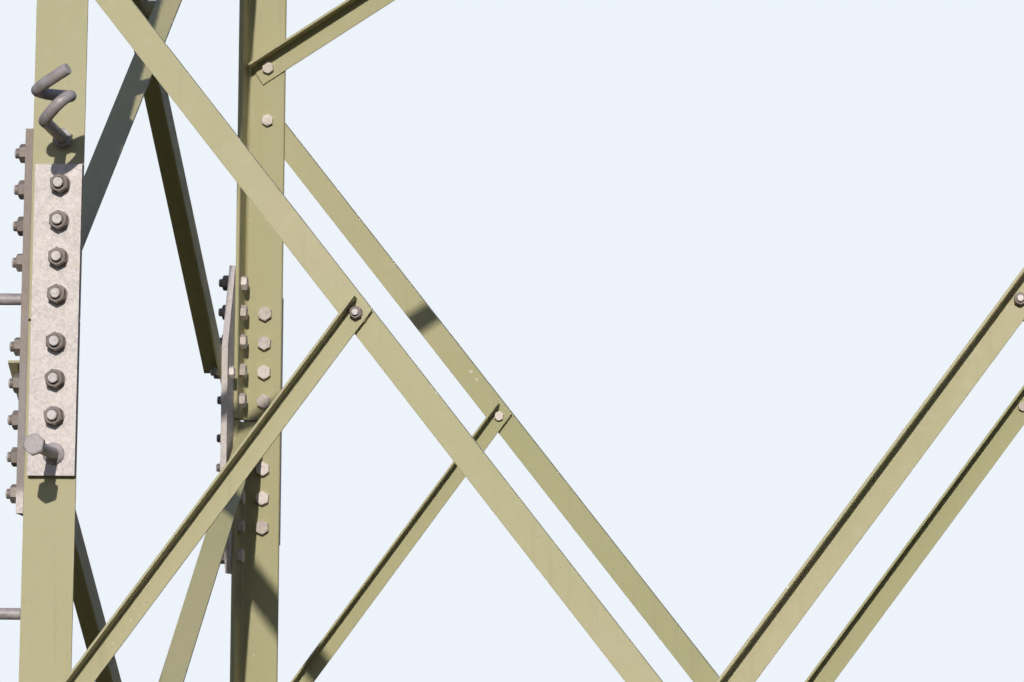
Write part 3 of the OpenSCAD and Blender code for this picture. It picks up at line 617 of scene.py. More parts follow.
def placed(rings, points, axes, spins):
    """Copies of the rings with their foot on each point, z along each axis, turned about it by each spin.
    The sides are found by crossing the axis with the world direction that it leans least along."""
    z = unit(axes)
    side = unit(np.cross(np.eye(3)[np.abs(z).argmin(1)], z))
    up = np.cross(z, side)
    c, s = np.cos(spins)[:, None], np.sin(spins)[:, None]
    frames = np.stack([c * side + s * up, c * up - s * side, z], 1)
    return np.einsum("rck,nkl->nrcl", rings, frames) + np.asarray(points)[:, None, None, :]


def bar_rings(p, q, across, out, b, t):
    """Rings of angle bars with their heels from each p to q. One flange, b wide and t thick, goes along
    across and the other along out."""
    section = np.array([[0, 0], [b, 0], [b, t], [t, t], [t, b], [0, b]])
    ring = section[None, :, :1] * across[:, None] + section[None, :, 1:] * out[:, None]
    turned = np.einsum("nk,nk->n", np.cross(across, out), q - p) < 0
    ring[turned] = ring[turned][:, ::-1]
    return np.stack([p[:, None] + ring, q[:, None] + ring], 1)


def washer_rings(d, cols):
    """Washer of 1.75 threads over its rim with a broken edge."""
    r, high = 0.875 * d, WASHER * d
    return lathe([(r, 0), (r, high - 0.03 * d), (r - 0.03 * d, high)], cols)


def nut_rings(d, cols, fine):
    """Nut of 1.5 threads over the flats and 0.85 high, countersunk round the thread that stands out."""
    tip = [(0.45 * d, 0), (0.45 * d, 0.30 * d)]
    if fine:
        tip = [(0.57 * d, 0), (0.50 * d, -0.06 * d), (0.45 * d, -0.06 * d), (0.45 * d, 0.30 * d)]
    return hexagon_rings(1.5 * d, 0.85 * d, 0.70 * d, cols, tip, 0.03 * d if fine else 0)


def head_rings(d, cols, fine):
    """Hexagon head of 1.42 threads over the flats and 0.64 high, with a shallow forging mark."""
    tip = [(0.25 * d, 0), (0.22 * d, -0.03 * d)] if fine else ()
    return hexagon_rings(1.42 * d, 0.64 * d, 0.67 * d, cols, tip)


def end_rings(d, cols):
    """Bright end of a thread, up to 0.42 threads outside its nut, with a chamfer."""
    profile = ((0.40, 0.26), (0.455, 0.30), (0.455, 0.34), (0.38, 0.42))
    return lathe([(r * d, z * d) for r, z in profile], cols)


class BoltSet:
    """Gathers the nuts with washers, the heads and the thread ends of many bolts for three pieces."""

    def __init__(self, seed, cols, fine):
        self.rng, self.cols, self.fine = np.random.default_rng(seed), cols, fine
        self.nuts, self.heads, self.ends = Shapes(), Shapes(), Shapes()

    def spins(self, n):
        """Most bolts end with a corner near the top, and each a little off."""
        return CORNER_UP + self.rng.normal(0.0, 0.11, n)

    def add(self, outer, inner, threads):
        """Adds bolts from their outer and inner points: the nut outside and the head inside."""
        for d in np.unique(threads):
            pick = threads == d
            o, i = outer[pick], inner[pick]
            axis, turn = unit(o - i), self.spins(len(o))
            self.nuts.rings(placed(washer_rings(d, self.cols), o, axis, turn))
            o = o + axis * WASHER * d
            self.nuts.rings(placed(nut_rings(d, self.cols, self.fine), o, axis, turn))
            self.ends.rings(placed(end_rings(d, self.cols), o + axis * 0.85 * d, axis, turn))
            self.heads.rings(placed(head_rings(d, self.cols, self.fine), i, -axis, self.spins(len(o))))

    def add_face(self, k, rows, taken):
        """Adds the bolts of face k apart from those whose holes are taken."""
        r = np.array(rows)
        outer, inner = (on_face(k, r[:, [0, depth, 1]]) for depth in (2, 3))
        keep = np.linalg.norm(outer[:, None] - taken[None], axis=2).min(1) > HOLE_GAP
        self.add(outer[keep], inner[keep], r[keep, 4])

    def pieces(self, name):
        for part, shapes, look in (("nuts", self.nuts, "zinc_bolts"), ("heads", self.heads, "pale_heads"),
                                   ("ends", self.ends, "bright_ends")):
            shapes.piece(f"{name}_{part}", material(look), "zinc_bolts", SHARP_IRON)


# Climbing irons

def climb_rows(k):
    """Every bolt on the climbing leg's flange of face k that goes outside a bar or a plate, as side,
    slope, outside depth, inside depth and thread."""
    side = 1 if k == 3 else -1
    rows = joint_rows(k, False) + joint_rows(k, True) + face_bolts(k)
    return [r for r in rows if r[0] * side > half_width(r[1]) - LEG_REACH and r[2] < -SEAT]


def step_places():
    """Steps on the two flanges of the climbing leg in turn, each on the nearest bolt that goes outside a
    bar or a plate, or on the bare flange. Each is a face, a point, an outside and an inside depth."""
    places = []
    first = sizes().joint + JOINT_GAP / 2
    held = {k: climb_rows(k) for k in (0, 3)}
    last = int((belts()[3] - first) // irons().step_pitch)
    beside_belts = [z + BELT_SPLIT for z in belts()[:3]]
    for i in range(-2, last + 1):
        if i == HOOK_STEP:
            continue
        k, side = (3, 1) if i % 2 == 0 else (0, -1)
        z = first + i * irons().step_pitch
        found = min(held[k], key=lambda r: abs(r[1] - slope(z)))
        gap = abs(found[1] - slope(z))
        bare = [v for v in beside_belts if k == 3 and abs(v - z) < gap]
        if gap > BELT_SPLIT or bare:
            z = bare[0] if bare and abs(bare[0] - z) <= BELT_SPLIT else z
            upper = z > level(UPPER_JOINT)
            point = leg_point(side, z, TOP_GAUGE if upper else GAUGE)
            places.append((k, *point, 0.0, TOP_T if upper else LEG_T))
        else:
            places.append((k, *found[:4]))
    return places


def hook_place():
    """Side and slope of the hook's bolt on the front face."""
    return leg_point(-1, sizes().joint + JOINT_GAP / 2 + HOOK_STEP * irons().step_pitch, GAUGE)


def step_holes():
    """Outer points of the bolt holes that steps and the hook take."""
    x, up = hook_place()
    points = [on_face(k, [x, out, z]) for k, x, z, out, _ in step_places()]
    return np.array(points + [on_face(0, [x, 0, up])])


# The hook's bends, and how far the middle of each stretch between two of them stands off the straight line
HOOK_BENDS = np.array([[0.003, 0, 0.003], [0.059, 0.010, 0.053],
                       [-0.007, 0.029, 0.063], [0.072, 0.042, 0.104]])
HOOK_BULGE = np.array([[0, 0.032, -0.0032], [0, -0.026, 0], [0, 0.030, -0.002]])
HOOK_END, HOOK_POINTS = 3.82, 160  # where the rod ends, counted in bends, and points along it
HOOK_TIP = ((0.0006, 0.96), (0.0018, 0.84))  # rounded end: metres past the rod's end, share of the radius
HOOK_COLLAR, COLLAR_TURN = (0.038, 0.018, 0.0182), 0.35  # flats, height and face circle, and its turn
HOOK_NUT = 0.024  # thread
STEP_HEAD, STEP_FACE = 0.62, 0.46  # a step's head: height in rod diameters, face circle in flats
# Radii and heights of a step's collar in rod diameters
STEP_COLLAR = ((0.8184, 0), (0.93, 0.06), (0.93, 0.14), (0.8649, 0.24), (0.7254, 0.33), (0.5766, 0.40))


def hook_path(u):
    """Middle line of the rope hook as side, distance from the leg and height. The first stretch eases out
    from the leg to the first bend; each later one is half a turn before or behind the middle, and the last
    one stays out in front."""
    bends = HOOK_BENDS + [0, irons().hook_out, 0]
    k = (u * u * (3 - 2 * u))[..., None]
    lead = np.concatenate([bends[0, 0] * k, bends[0, 1] * u[..., None], bends[0, 2] * k], -1)
    n = np.clip(np.floor(u).astype(int) - 1, 0, len(bends) - 2)
    a = np.pi * (u - 1 - n)
    p, q = bends[n], bends[n + 1]
    out = np.sin(np.where(n == len(bends) - 2, np.minimum(a, np.pi / 2), a)) * (1 - 0.3 * np.cos(a))
    turn = p + (q - p) * ((1 - np.cos(a)) / 2)[..., None] + HOOK_BULGE[n] * out[..., None]
    return np.where((u < 1)[..., None], lead, turn)


def tube(path, radius, cols):
    """Rings round a path that never runs straight up. Each lies across the path's direction, and its level
    side is that direction crossed with up."""
    d = unit(np.gradient(path, axis=0))
    sides = unit(np.cross(d, [0, 0, 1.0]))
    up, a = np.cross(d, sides), round_angles(cols)
    ring = np.cos(a)[None, :, None] * sides[:, None] + np.sin(a)[None, :, None] * up[:, None]
    return path[:, None] + radius[:, None, None] * ring


# Materials

class Nodes:
    """Short words for the nodes of one material or of the world."""

    def __init__(self, name, kind="materials"):
        self.owner = getattr(bpy.data, kind).new(name)
        self.owner.use_nodes = True
        self.tree = self.owner.node_tree
        self.tree.nodes.clear()
        self.at = self.add("ShaderNodeTexCoord").outputs
        self.place = self.at["Object"]

    def add(self, kind, values=None, **settings):
        """Adds a node, sets its properties and fills its sockets with values or links."""
        node = self.tree.nodes.new(kind)
        for key, value in settings.items():
            setattr(node, key, value)
        for key, value in (values or {}).items():
            if isinstance(value, bpy.types.NodeSocket):
                self.tree.links.new(value, node.inputs[key])
            else:
                node.inputs[key].default_value = value
        return node

    def noise(self, scale, detail=4.0, stretch=None, rough=0.5):
        """Noise with so many waves to the metre, stretched by three factors if given."""
        place = self.place
        if stretch:
            place = self.add("ShaderNodeMapping", {"Vector": place, "Scale": stretch}).outputs[0]
        return self.add("ShaderNodeTexNoise", {"Vector": place, "Scale": scale, "Detail": detail,
                                               "Roughness": rough}).outputs["Fac"]

    def cells(self, scale):
        """A random grey for each cell of a cell pattern."""
        node = self.add("ShaderNodeTexVoronoi", {"Vector": self.place, "Scale": scale})
        return self.add("ShaderNodeSeparateColor", {0: node.outputs["Color"]}).outputs[0]

    def band(self, value, low, high, out_low=0.0, out_high=1.0):
        """Value from low to high brought to the outer range and held there."""
        return self.add("ShaderNodeMapRange", {0: value, 1: low, 2: high, 3: out_low, 4: out_high},
                        interpolation_type="SMOOTHSTEP").outputs[0]

    def calc(self, kind, a, b=0.5, clamp=True):
        return self.add("ShaderNodeMath", {0: a, 1: b}, operation=kind, use_clamp=clamp).outputs[0]

    def split(self, vector):
        """The three numbers of a vector by their letters."""
        return self.add("ShaderNodeSeparateXYZ", {0: vector}).outputs

    def most(self, values):
        """The largest of some values between nought and one."""
        values = list(values)
        found = values[0]
        for value in values[1:]:
            found = self.calc("MAXIMUM", found, value)
        return found

    def times(self, a, b):
        return self.calc("MULTIPLY", a, b)

    def plate_edges(self):
        """One on the thin edges of the plates that lie outside the legs: there the plate's own direction
        has gone past the leg's face, and the surface doesn't look along it."""
        place = self.split(self.place)
        looks = self.split(self.add("ShaderNodeNewGeometry").outputs["True Normal"])
        lean, edges = self.calc("MULTIPLY", place["Z"], sizes().taper, False), []
        for axis in "XY":
            out = self.calc("ABSOLUTE", self.calc("SUBTRACT", place[axis], AXIS, False), clamp=False)
            past = self.calc("GREATER_THAN", self.calc("ADD", out, lean, False), AXIS + HEEL - FACE_SLACK)
            along = self.calc("LESS_THAN", self.calc("ABSOLUTE", looks[axis]), 0.5)
            edges.append(self.times(past, along))
        return self.most(edges)

    def marks(self, spots):
        """One inside each spot of a list of places and radii, with ragged rims, and nought elsewhere."""
        ragged, found = self.calc("MULTIPLY", self.noise(420.0, 3.0, rough=0.7), 1.3, False), []
        for x, y, z, wide, high in spots:
            flat = self.add("ShaderNodeMapping", {"Vector": self.place, "Location": (-x, -y, -z)})
            scale = (1 / wide, 1 / CHIP_REACH, 1 / high)
            flat = self.add("ShaderNodeMapping", {"Vector": flat.outputs[0], "Scale": scale}).outputs[0]
            far = self.add("ShaderNodeVectorMath", {0: flat}, operation="LENGTH").outputs["Value"]
            found.append(self.calc("LESS_THAN", self.calc("MULTIPLY", far, ragged, False), 0.6))
        return self.most(found)

    def blend(self, amount, first, second, kind="MIX"):
        """Mixes two colours."""
        first, second = (v if isinstance(v, bpy.types.NodeSocket) else (*v, 1) for v in (first, second))
        return self.add("ShaderNodeMix", {0: amount, 6: first, 7: second}, data_type="RGBA",
                        blend_type=kind).outputs[2]

    def cover(self, colour, other, value, low, high, most=1.0):
        """Lays the other colour over the first where the value has risen from low to high."""
        return self.blend(self.band(value, low, high, 0.0, most), colour, other)

    def edges(self, radius):
        """One on edges within the radius and nought on flats, and the softened normal."""
        soft = self.add("ShaderNodeBevel", {"Radius": radius}, samples=4).outputs[0]
        flat = self.add("ShaderNodeNewGeometry").outputs["True Normal"]
        dot = self.add("ShaderNodeVectorMath", {0: soft, 1: flat}, operation="DOT_PRODUCT").outputs["Value"]
        return self.band(dot, 0.99, 0.85), soft

    def surface(self, colour, rough, height=None, bump=0.0, normal=None, metal=0.0, **fixed):
        """Ends the material with its shader. Height is in metres times the bump."""
        normal = {} if normal is None else {"Normal": normal}
        if height is not None:
            values = {"Height": height, "Distance": bump, "Strength": 1.0, **normal}
            normal = {"Normal": self.add("ShaderNodeBump", values).outputs[0]}
        values = {"Base Color": colour, "Roughness": rough, "Metallic": metal, **normal}
        values.update({key.replace("_", " ").title().replace("Ior", "IOR"): v for key, v in fixed.items()})
        shader = self.add("ShaderNodeBsdfPrincipled", values)
        self.add("ShaderNodeOutputMaterial", {"Surface": shader.outputs[0]})
        return self.owner


# Places where the paint has been knocked off, each with its half width and half height
CHIPS = [(0.88, 0.007, 3.006, 0.006, 0.005), (0.901, 0.006, 2.981, 0.005, 0.005),
         (0.87, 0.007, 3.019, 0.005, 0.004), (0.637, 2.77, 3.296, 0.009, 0.006),
         (0.653, 2.77, 3.274, 0.007, 0.005), (0.047, 1.523, 4.073, 0.008, 0.009),
         (-0.012, 2.488, 2.851, 0.006, 0.006), (-0.012, 2.565, 2.857, 0.006, 0.006),
         (-0.016, 2.122, 2.67, 0.01, 0.017), (-0.016, 2.142, 2.688, 0.006, 0.008)]
CHIP_REACH = 0.02  # how far a chip reaches from front to back
RAIN, DIRT = (0.27, 0.245, 0.13), (0.16, 0.14, 0.08)  # streaks and specks on the paint
SPECK, DUST = (0.12, 0.10, 0.08), (0.36, 0.32, 0.26)  # on the zinc and on the glaze
DAMP, PIT_SHADE = (0.16, 0.15, 0.11), (0.13, 0.12, 0.10)  # in the concrete: the damp foot, and painted shade in the pits
FACE_SLACK = 0.0005  # so far inside a leg's face a plate's edge still counts
EDGE_SHADE_END = (-0.345, -0.385)  # heights beside the joint where the painted shade on the plates' edges stops, so their lowest ends show their zinc


def tint(colour, factor):
    """The colour times one factor or three, held at white."""
    return tuple(np.minimum(1.0, np.multiply(colour, factor)).tolist())


def paint_material(name, shade):
    """Khaki paint that changes slowly in hue, with painted shade towards the far side, dust, rain streaks,
    edges paled partly by chalky paint and partly by a painted highlight, and chips.
    """
    f, n = finish(), Nodes(name)
    khaki, green, pale = (tint(v, shade) for v in (f.khaki, f.khaki_green, f.khaki_pale))
    edge, soft = n.edges(0.0022)
    colour = n.cover(khaki, green, n.noise(0.9, 3.0), 0.36, 0.66, 0.85)
    mottle = n.noise(38.0, 5.0, rough=0.62)
    colour = n.cover(colour, pale, mottle, 0.45, 0.75, 0.30)
    # painted shade: the paint darkens and turns greener towards the far side of the body, away from the main
    # light
    colour = n.blend(n.band(n.split(n.place)["Y"], 0.2, 2.6), colour, f.shaded, "MULTIPLY")
    colour = n.cover(colour, RAIN, n.noise(1.0, 4.0, (55.0, 55.0, 2.2)), 0.55, 0.80, 0.22)
    # pale edges: partly chalky paint, partly a painted highlight where the rounded edges catch the light
    colour = n.blend(n.times(edge, 0.45), colour, pale)
    chips = n.times(n.band(n.noise(95.0, 3.0, rough=0.6), 0.69, 0.71), n.band(n.noise(5.0, 2.0), 0.56, 0.66))
    ragged, less = n.noise(24.0, 4.0, rough=0.7), 0.1 * f.wear
    worn = n.times(edge, n.band(ragged, 0.60 - less, 0.66 - less))
    bare = n.most((chips, worn, n.marks(CHIPS)))
    colour = n.blend(bare, colour, f.chip)
    colour = n.cover(colour, DIRT, n.noise(160.0, 2.0), 0.68, 0.75, 0.35)
    height = n.calc("SUBTRACT", n.noise(420.0, 2.0), bare)
    rough = n.band(mottle, 0.3, 0.7, 0.46, 0.62)
    return n.surface(colour, rough, height, 0.00012, soft, specular_ior_level=0.42)


def zinc_material(name, bright, dull, edge_radius, edge_shade=None):
    """Hot-dip zinc: crystals of two sizes in two greys, pale clouds, warm oxide and a few dark specks. The
    edge shade colour is painted shade on the edges of plates, in streaks, weaker towards the far side and
    none at their lowest ends."""
    n = Nodes(name)
    edge, soft = n.edges(edge_radius)
    grain = n.calc("ADD", n.times(n.cells(150.0), 0.28), n.times(n.cells(290.0), 0.62))
    colour = n.cover(dull, bright, grain, 0.12, 0.76)
    colour = n.cover(colour, tint(bright, 1.18), n.noise(30.0, 5.0, rough=0.65), 0.42, 0.70, 0.35)
    colour = n.cover(colour, tint(bright, (1.0, 0.97, 0.82)), n.noise(75.0, 3.0), 0.50, 0.72, 0.45)
    colour = n.cover(colour, tint(dull, 0.70), n.noise(1.0, 4.0, (60.0, 60.0, 3.0)), 0.56, 0.8, 0.25)
    colour = n.cover(colour, SPECK, n.noise(210.0, 2.0), 0.71, 0.76, 0.5)
    if edge_shade is not None:
        # painted shade on the thin edges of the plates, in streaks, weaker towards the far side and none at
        # their lowest ends
        place = n.split(n.place)
        streaked_shade = n.cover(edge_shade, tint(edge_shade, (1.05, 1.18, 1.40)), n.noise(1.0, 4.0, (30.0, 30.0, 7.0)), 0.35, 0.65)
        bare = n.band(place["Z"], *(sizes().joint + z for z in EDGE_SHADE_END))
        shown = n.calc("SUBTRACT", n.calc("SUBTRACT", 0.92, bare), n.band(place["Y"], 0.5, 2.2, 0.0, 0.7))
        colour = n.blend(n.times(n.plate_edges(), shown), colour, streaked_shade)
    colour = n.blend(n.times(edge, 0.25), colour, tint(bright, 1.25))
    rough = n.band(grain, 0.1, 0.9, 0.66, 0.52)
    return n.surface(colour, rough, n.noise(300.0, 3.0), 0.00010, soft, metal=0.2)


def bolt_material(name, base, spread, metal):
    """Weathered zinc of bolts: blotches, each bolt a little lighter or darker, worn bright edges."""
    n = Nodes(name)
    edge, soft = n.edges(0.0010)
    blotch, pale = n.noise(130.0, 4.0, rough=0.6), tint(base, 1.45)
    colour = n.cover(tint(base, (0.72, 0.68, 0.62)), base, blotch, 0.30, 0.62)
    colour = n.cover(colour, pale, n.noise(9.0, 1.0), 0.42, 0.65, spread)
    colour = n.blend(n.times(edge, 0.5), colour, pale)
    return n.surface(colour, n.band(blotch, 0.3, 0.7, 0.48, 0.62), blotch, 0.00015, soft, metal=metal)


def forged_material():
    """Smooth dull zinc of the steps and the hook, a little scuffed."""
    f, n = finish(), Nodes("forged_zinc")
    edge, soft = n.edges(0.0010)
    cloud, pale = n.noise(46.0, 5.0, rough=0.65), tint(f.forged, 1.3)
    colour = n.cover(tint(f.forged, (0.74, 0.72, 0.70)), f.forged, cloud, 0.34, 0.62)
    scuff = n.noise(120.0, 4.0, rough=0.7)
    colour = n.cover(colour, pale, scuff, 0.56, 0.74, 0.6)
    colour = n.blend(n.times(edge, 0.4), colour, pale)
    return n.surface(colour, n.band(cloud, 0.3, 0.7, 0.42, 0.56), scuff, 0.00012, soft, metal=0.12)


def glaze_material():
    """Brown glaze over porcelain with dust on its upper sides."""
    f, n = finish(), Nodes("brown_glaze")
    up = n.split(n.add("ShaderNodeNewGeometry").outputs["Normal"])["Z"]
    cloud = n.noise(22.0, 4.0, rough=0.6)
    colour = n.cover(f.glaze, tint(f.glaze, 1.7), cloud, 0.35, 0.65)
    patch = n.band(n.noise(60.0, 4.0, rough=0.6), 0.35, 0.7, 0.1, 0.5)
    dust = n.times(n.band(up, 0.1, 0.9), patch)
    colour = n.blend(dust, colour, DUST)
    rough = n.band(dust, 0.0, 0.4, 0.12, 0.45)
    return n.surface(colour, rough, cloud, 0.00010, coat_weight=0.6, coat_roughness=0.08)


def concrete_material():
    """Weathered concrete: cloudy grey, pits darkened with painted shade, sand grains, damp foot and stains.
    """
    f, n = finish(), Nodes("weathered_concrete")
    edge, soft = n.edges(0.006)
    pale = tint(f.concrete, 1.3)
    colour = n.cover(tint(f.concrete, 0.6), f.concrete, n.noise(6.0, 6.0, rough=0.6), 0.36, 0.66)
    sand = n.noise(260.0, 3.0, rough=0.7)
    colour = n.cover(colour, pale, sand, 0.4, 0.7, 0.6)
    patch = n.band(n.noise(9.0, 4.0), 0.3, 0.6, 0.4, 1.0)
    damp = n.times(n.band(n.split(n.place)["Z"], 0.09, 0.0), patch)
    colour = n.blend(n.times(damp, 0.6), colour, DAMP)
    pits = n.add("ShaderNodeTexVoronoi", {"Vector": n.place, "Scale": 85.0}).outputs["Distance"]
    # painted shade: the pits are darkened
    colour = n.cover(colour, PIT_SHADE, pits, 0.16, 0.08, 0.7)
    colour = n.blend(n.times(edge, 0.4), colour, pale)
    height = n.calc("ADD", n.times(n.band(pits, 0.05, 0.20), 0.5), n.times(sand, 0.5))
    return n.surface(colour, n.band(sand, 0.3, 0.7, 0.8, 0.95), height, 0.0012, soft)


MATERIALS = {}


def material(slot):
    """The finish of a slot, made on its first use."""
    f = finish()
    makers = {
        "green_paint": lambda: paint_material("khaki_paint", 1.0),
        "leg_paint": lambda: paint_material("khaki_leg_paint", f.leg_shade),
        "galvanised_plate": lambda: zinc_material("plate_zinc", f.zinc, f.zinc_dark, 0.0012, f.plate_edge_shade),
        "galvanised_fittings": lambda: zinc_material("fitting_zinc", tint(f.zinc, 0.85),
                                                     tint(f.zinc_dark, 0.8), 0.0020),
        "zinc_bolts": lambda: bolt_material("nut_zinc", f.bolt, 0.5, 0.15),
        "pale_heads": lambda: bolt_material("head_zinc", f.head, 0.7, 0.1),
        "bright_ends": lambda: bolt_material("thread_zinc", f.thread, 0.4, 0.1),
        "forged": forged_material,
        "porcelain": glaze_material,
        "concrete": concrete_material,
    }
    if slot not in MATERIALS:
        MATERIALS[slot] = makers[slot]()
    return MATERIALS[slot]


# Floor, light and camera

FLOOR_BOUNCE = (0.075, 0.062, 0.02)  # dark and calm where the floor throws light back on the pylon
FLOOR_PALE, FLOOR_GLOW = (0.80, 0.80, 0.80), (0.33, 0.37, 0.36)  # what looks at the floor directly sees
BACKDROP = (0.85, 0.90, 0.96)
BACKDROP_GLOSS = 0.25  # share of the backdrop in a reflection
MAIN_LIGHT, BACK_LIGHT = ((1.0, 0.965, 0.92), 0.6), ((0.94, 0.97, 1.0), 16.0)  # colour and width in degrees
BACK_LIGHT_UP = 18.0  # degrees
LAMP_PLACE = (0, 0, 30)
SENSOR = 36.0  # millimetres


def floor_material():
    """Pale floor whose shadows look lighter than the light that it throws back makes them."""
    n = Nodes("pale_floor")
    seen = n.add("ShaderNodeLightPath").outputs["Is Camera Ray"]
    return n.surface(n.blend(seen, FLOOR_BOUNCE, FLOOR_PALE), 0.95, specular_ior_level=0.0,
                     emission_color=n.blend(seen, (0, 0, 0), FLOOR_GLOW), emission_strength=1.0)


def world_light(s):
    """Soft fill light, stronger and less blue from the main light's side, with a pale backdrop for what sees
    it directly, in a reflection or through glass."""
    n = Nodes("world", "worlds")
    ray = n.add("ShaderNodeLightPath").outputs
    seen = n.calc("MAXIMUM", ray["Is Camera Ray"], ray["Is Transmission Ray"])
    seen = n.add("ShaderNodeMath", {0: ray["Is Glossy Ray"], 1: BACKDROP_GLOSS, 2: seen},
                 operation="MULTIPLY_ADD", use_clamp=True).outputs[0]
    way, soft = n.split(n.at["Generated"])["Y"], s.fill_side
    for colour, edge, end in ((s.fill_front, -0.15, -1.0), (s.fill_back, 0.15, 1.0)):
        soft = n.blend(n.add("ShaderNodeMapRange", {0: way, 1: edge, 2: end}).outputs[0], soft, colour)
    fill = n.add("ShaderNodeBackground", {0: soft, 1: s.fill}).outputs[0]
    back = n.add("ShaderNodeBackground", {0: (*BACKDROP, 1), 1: 1.0}).outputs[0]
    mixed = n.add("ShaderNodeMixShader", {0: seen, 1: fill, 2: back}).outputs[0]
    n.add("ShaderNodeOutputWorld", {0: mixed})
    return n.owner


def looking(forward, roll, place):
    """Matrix of a camera or lamp at a place that looks forward: its right is forward crossed with up, its
    up is right crossed with forward, and both are turned by the roll."""
    f = np.asarray(forward, float)
    right = unit(np.cross(f, [0, 0, 1]))
    up = np.cross(right, f)
    c, s = math.cos(roll), math.sin(roll)
    m = np.eye(4)
    m[:3, 0], m[:3, 1], m[:3, 2], m[:3, 3] = c * right + s * up, c * up - s * right, -f, place
    return Matrix(m.tolist())


def sun(name, strength, colour, wide, side, up):
    """A light from far away, whose width, turn from the front to the right and height are in degrees."""
    lamp = bpy.data.lights.new(name, "SUN")
    lamp.energy, lamp.color, lamp.angle = strength, colour, math.radians(wide)
    light = bpy.data.objects.new(name, lamp)
    up, side = math.radians(up), math.radians(side)
    towards = np.array([math.sin(side) * math.cos(up), -math.cos(side) * math.cos(up), math.sin(up)])
    light.matrix_world = looking(-towards, 0.0, LAMP_PLACE)
    bpy.context.scene.collection.objects.link(light)
    return light


# Operators

class PYLON_OT_finishes(bpy.types.Operator):
    """Gives every part of the model the finish of its slot"""
    bl_idname = "pylon.finishes"
    bl_label = "Finishes"

    def execute(self, context):
        slots = {p["node"]: p["material_slot"] for p in frame["record"]["subparts"]}
        for name, node in frame["nodes"].items():
            node.data.materials.clear()
            node.data.materials.append(material("leg_paint" if "_leg_" in name else slots[name]))
        return {"FINISHED"}


class PYLON_OT_splice_bolts(bpy.types.Operator):
    """Bolts of the leg joints, with their nuts outside"""
    bl_idname = "pylon.splice_bolts"
    bl_label = "Splice bolts"

    def execute(self, context):
        taken = step_holes()
        for name, upper, cols in (("lower_splice", False, FINE), ("upper_splice", True, FINE // 2)):
            bolts = BoltSet(11, cols, not upper)
            for k in range(4):
                bolts.add_face(k, joint_rows(k, upper), taken)
            bolts.pieces(name)
        return {"FINISHED"}


class PYLON_OT_bracing_bolts(bpy.types.Operator):
    """Bolts of the bracing and the belts of all four faces"""
    bl_idname = "pylon.bracing_bolts"
    bl_label = "Bracing bolts"

    def execute(self, context):
        taken, fine_top = step_holes(), sizes().joint + FINE_UP
        for name, low in (("lower_bracing", True), ("upper_bracing", False)):
            bolts = BoltSet(12, FINE if low else COARSE, low)
            for k in range(4):
                rows = [r for r in face_bolts(k) + belt_bolts(k) if (r[1] < fine_top) == low]
                bolts.add_face(k, rows, taken)
            bolts.pieces(name)
        return {"FINISHED"}


class PYLON_OT_arm_dressing(bpy.types.Operator):
    """Roof bars of the crossarms, and the bolts of the crossarms and the peak"""
    bl_idname = "pylon.arm_dressing"
    bl_label = "Arm dressing"

    def execute(self, context):
        bolts = BoltSet(14, COARSE, False)
        bolts.add(*arm_bolts())
        bolts.add(*peak_bolts())
        bolts.pieces("arm")
        bars = Shapes()
        for z, depth, reach, bays, _ in arm_tiers().values():
            pairs, up = arm_lacing(z, depth, reach, bays)
            aside = unit(np.cross(up, pairs[:, 1] - pairs[:, 0]))
            for flip in ([-1, 1, 1], [1, 1, 1]):
                p, q = (pairs[:, i] * flip + CENTRE for i in (0, 1))
                out = np.tile(up * flip, (len(p), 1))
                bars.rings(bar_rings(p, q, aside * flip, out, ROOF_B, ROOF_T))
        bars.piece("arm_roof_bars", material("green_paint"), "green_paint")
        return {"FINISHED"}


class PYLON_OT_steps(bpy.types.Operator):
    """Step bolts of the climbing leg, forged with a collar and a hexagon head"""
    bl_idname = "pylon.steps"
    bl_label = "Step bolts"

    def execute(self, context):
        i, d, places = irons(), irons().step_d, step_places()
        outer = np.array([on_face(k, [x, out - SEAT, z]) for k, x, z, out, _ in places])
        inner = np.array([on_face(k, [x, back, z]) for k, x, z, _, back in places])
        axis = outer - inner
        spins = CORNER_UP + np.random.default_rng(13).normal(0.0, 0.05, len(places))
        head = STEP_HEAD * d
        rod = [(r * d, z * d) for r, z in STEP_COLLAR] + [(d / 2, 0.50 * d), (d / 2, i.step_len - head)]
        ends = outer + unit(axis) * (i.step_len - head)
        shapes = Shapes()
        shapes.rings(placed(lathe(rod, 16), outer, axis, spins))
        hexagon = hexagon_rings(i.step_flats, head, STEP_FACE * i.step_flats, FINE)
        shapes.rings(placed(hexagon, ends, axis, spins))
        shapes.rings(placed(nut_rings(d, FINE // 2, False), inner, -axis, spins))
        piece = shapes.piece("forged_step_bolts", material("forged"), "zinc_bolts", SHARP_IRON)
        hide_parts("step_bolts")
        return {"FINISHED"}


class PYLON_OT_rope_hook(bpy.types.Operator):
    """Corkscrew hook for the climbing rope, with its collar and its nut"""
    bl_idname = "pylon.rope_hook"
    bl_label = "Rope hook"

    def execute(self, context):
        x, up = hook_place()
        base, inside = (on_face(0, [x, depth, up]) for depth in (-SEAT, LEG_T))
        out = (base - inside)[None]
        path = hook_path(np.linspace(0.0, HOOK_END, HOOK_POINTS)) * [1, -1, 1]
        past, narrow = np.array(HOOK_TIP).T
        path = np.concatenate([path, path[-1] + past[:, None] * unit(path[-1] - path[-2])])
        radius = np.concatenate([np.ones(HOOK_POINTS), narrow]) * irons().hook_d / 2
        shapes = Shapes().rings(tube(on_face(0, path + [x, -SEAT, up]), radius, 20)[None])
        shapes.rings(placed(hexagon_rings(*HOOK_COLLAR, FINE), base[None], out, np.full(1, COLLAR_TURN)))
        shapes.rings(placed(nut_rings(HOOK_NUT, FINE, True), inside[None], -out, np.zeros(1)))
        piece = shapes.piece("rope_hook", material("forged"), "zinc_bolts", SHARP_IRON)
        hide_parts("rope_anchor")
        return {"FINISHED"}


